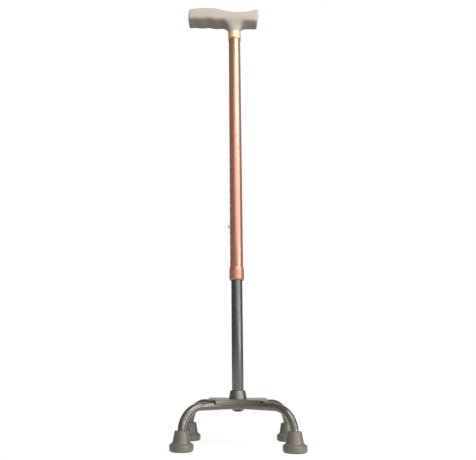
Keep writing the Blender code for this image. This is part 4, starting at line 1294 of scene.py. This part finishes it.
def power_outline(width, depth, squareness, z):
    """Points round the neck, between a circle and a square."""
    power = 2 / squareness
    points = []
    for k in range(AROUND):
        angle = math.pi + math.tau * k / AROUND
        across = math.copysign(abs(math.cos(angle)) ** power, math.cos(angle))
        back = math.copysign(abs(math.sin(angle)) ** power, math.sin(angle))
        points.append((width * across, depth * back, z))
    return points


def end_lean(x):
    """How far a point moves along the grip for its height, which leans both ends."""
    if x > HANDLE_SHORT - 2 * END_ROUND:
        return SHORT_END_LEAN
    if x < 2 * END_ROUND - HANDLE_LONG:
        return LONG_END_LEAN
    return 0.0


def handle_cage():
    """The coarse mesh of grip and neck, with a crease round the foot of the neck."""
    bm = bmesh.new()
    crease = bm.edges.layers.float.new("crease_edge")
    rows = []
    for x, top, bottom, depth in STATIONS:
        lean = end_lean(x)
        row = []
        for across, up in SECTION:
            z = up * HANDLE_HEIGHT / 2 * (top if up > 0 else bottom)
            at = (x + lean * z, across * HANDLE_DEPTH / 2 * depth, z - HANDLE_TILT * x)
            row.append(bm.verts.new(at))
        rows.append(row)
    root = [i for i, station in enumerate(STATIONS) if abs(station[0]) <= NECK_ROOT]
    for i in range(len(rows) - 1):
        for k in range(AROUND):
            if i in root[:-1] and FIRST_UNDER <= k < LAST_UNDER:
                continue
            nxt = (k + 1) % AROUND
            bm.faces.new((rows[i][k], rows[i][nxt], rows[i + 1][nxt], rows[i + 1][k]))
    bm.faces.new(rows[0])
    bm.faces.new(reversed(rows[-1]))
    left, middle, right = (rows[i] for i in root)
    loop = [left[9], left[8], left[7], middle[7], *right[7:12], middle[11], left[11], left[10]]
    neck_top = -HANDLE_HEIGHT / 2
    neck_length = neck_top - (NECK_FOOT - HANDLE_Z)
    for width, depth, squareness, share in NECK_LEVELS:
        level = power_outline(width, depth, squareness, neck_top - share * neck_length)
        lower_loop = [bm.verts.new(point) for point in level]
        for k in range(AROUND):
            nxt = (k + 1) % AROUND
            bm.faces.new((loop[k], lower_loop[k], lower_loop[nxt], loop[nxt]))
        loop = lower_loop
    for bottom_edge in bm.faces.new(loop).edges:
        bottom_edge[crease] = 1.0
    bmesh.ops.recalc_face_normals(bm, faces=bm.faces)
    return solid_object("moulded_handle", bm)


# %% The handle, rounded, with its spigot
SPIGOT_R = UPPER_BORE_R - FIT
SPIGOT_TOP = NECK_FOOT + SPIGOT_R
SPIGOT_BOTTOM = NECK_FOOT - 0.046
SPIGOT_EDGE = 0.0005
SPIGOT_BORE_R = 0.004
SPIGOT_ROOF = NECK_FOOT + 0.0048

handle = handle_cage()
smooth = handle.modifiers.new("Round", "SUBSURF")
smooth.levels = smooth.render_levels = 3
baked(handle)
handle.data.transform(Matrix.Translation((0, 0, HANDLE_Z)))
spigot_line = [
    (0, SPIGOT_TOP),
    (SPIGOT_R, SPIGOT_TOP),
    (SPIGOT_R, SPIGOT_BOTTOM + SPIGOT_EDGE),
    (SPIGOT_R - SPIGOT_EDGE, SPIGOT_BOTTOM),
    (0, SPIGOT_BOTTOM),
]
cut_with(handle, turn_outline("spigot", spigot_line), "UNION")
cut_with(handle, upright_rod("spigot_bore", SPIGOT_BORE_R, SPIGOT_BOTTOM - PAST, SPIGOT_ROOF))
cut_with(handle, sideways_rod("pilot", SCREW_HOLE_R, SPIGOT_R, (0, SPIGOT_R, SCREW_Z), "Y"))
dress(handle, handle_plastic, "shaft", "handle_plastic", "handle_grip")

# %% [markdown]
# ## Parts that hide inside
#
# The working model's own meshes serve for the parts that nobody sees from outside.
# They get a finish too, so that a view into the tubes or between the parts holds up.

# %% Finishes for the hidden parts
HIDDEN = {
    "glide_cap": nylon,
    "grip_ring": nylon,
    "tube_plug": nylon,
    "hub_socket": zinc_steel,
    "plug_nut": zinc_steel,
}
for end_name in ("front", "rear"):
    for side in ("left", "right"):
        HIDDEN[f"foot_washer_{end_name}_{side}"] = zinc_steel
for node_name, finish in HIDDEN.items():
    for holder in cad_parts[node_name].material_slots:
        holder.material = finish
print("hidden parts dressed:", len(HIDDEN))
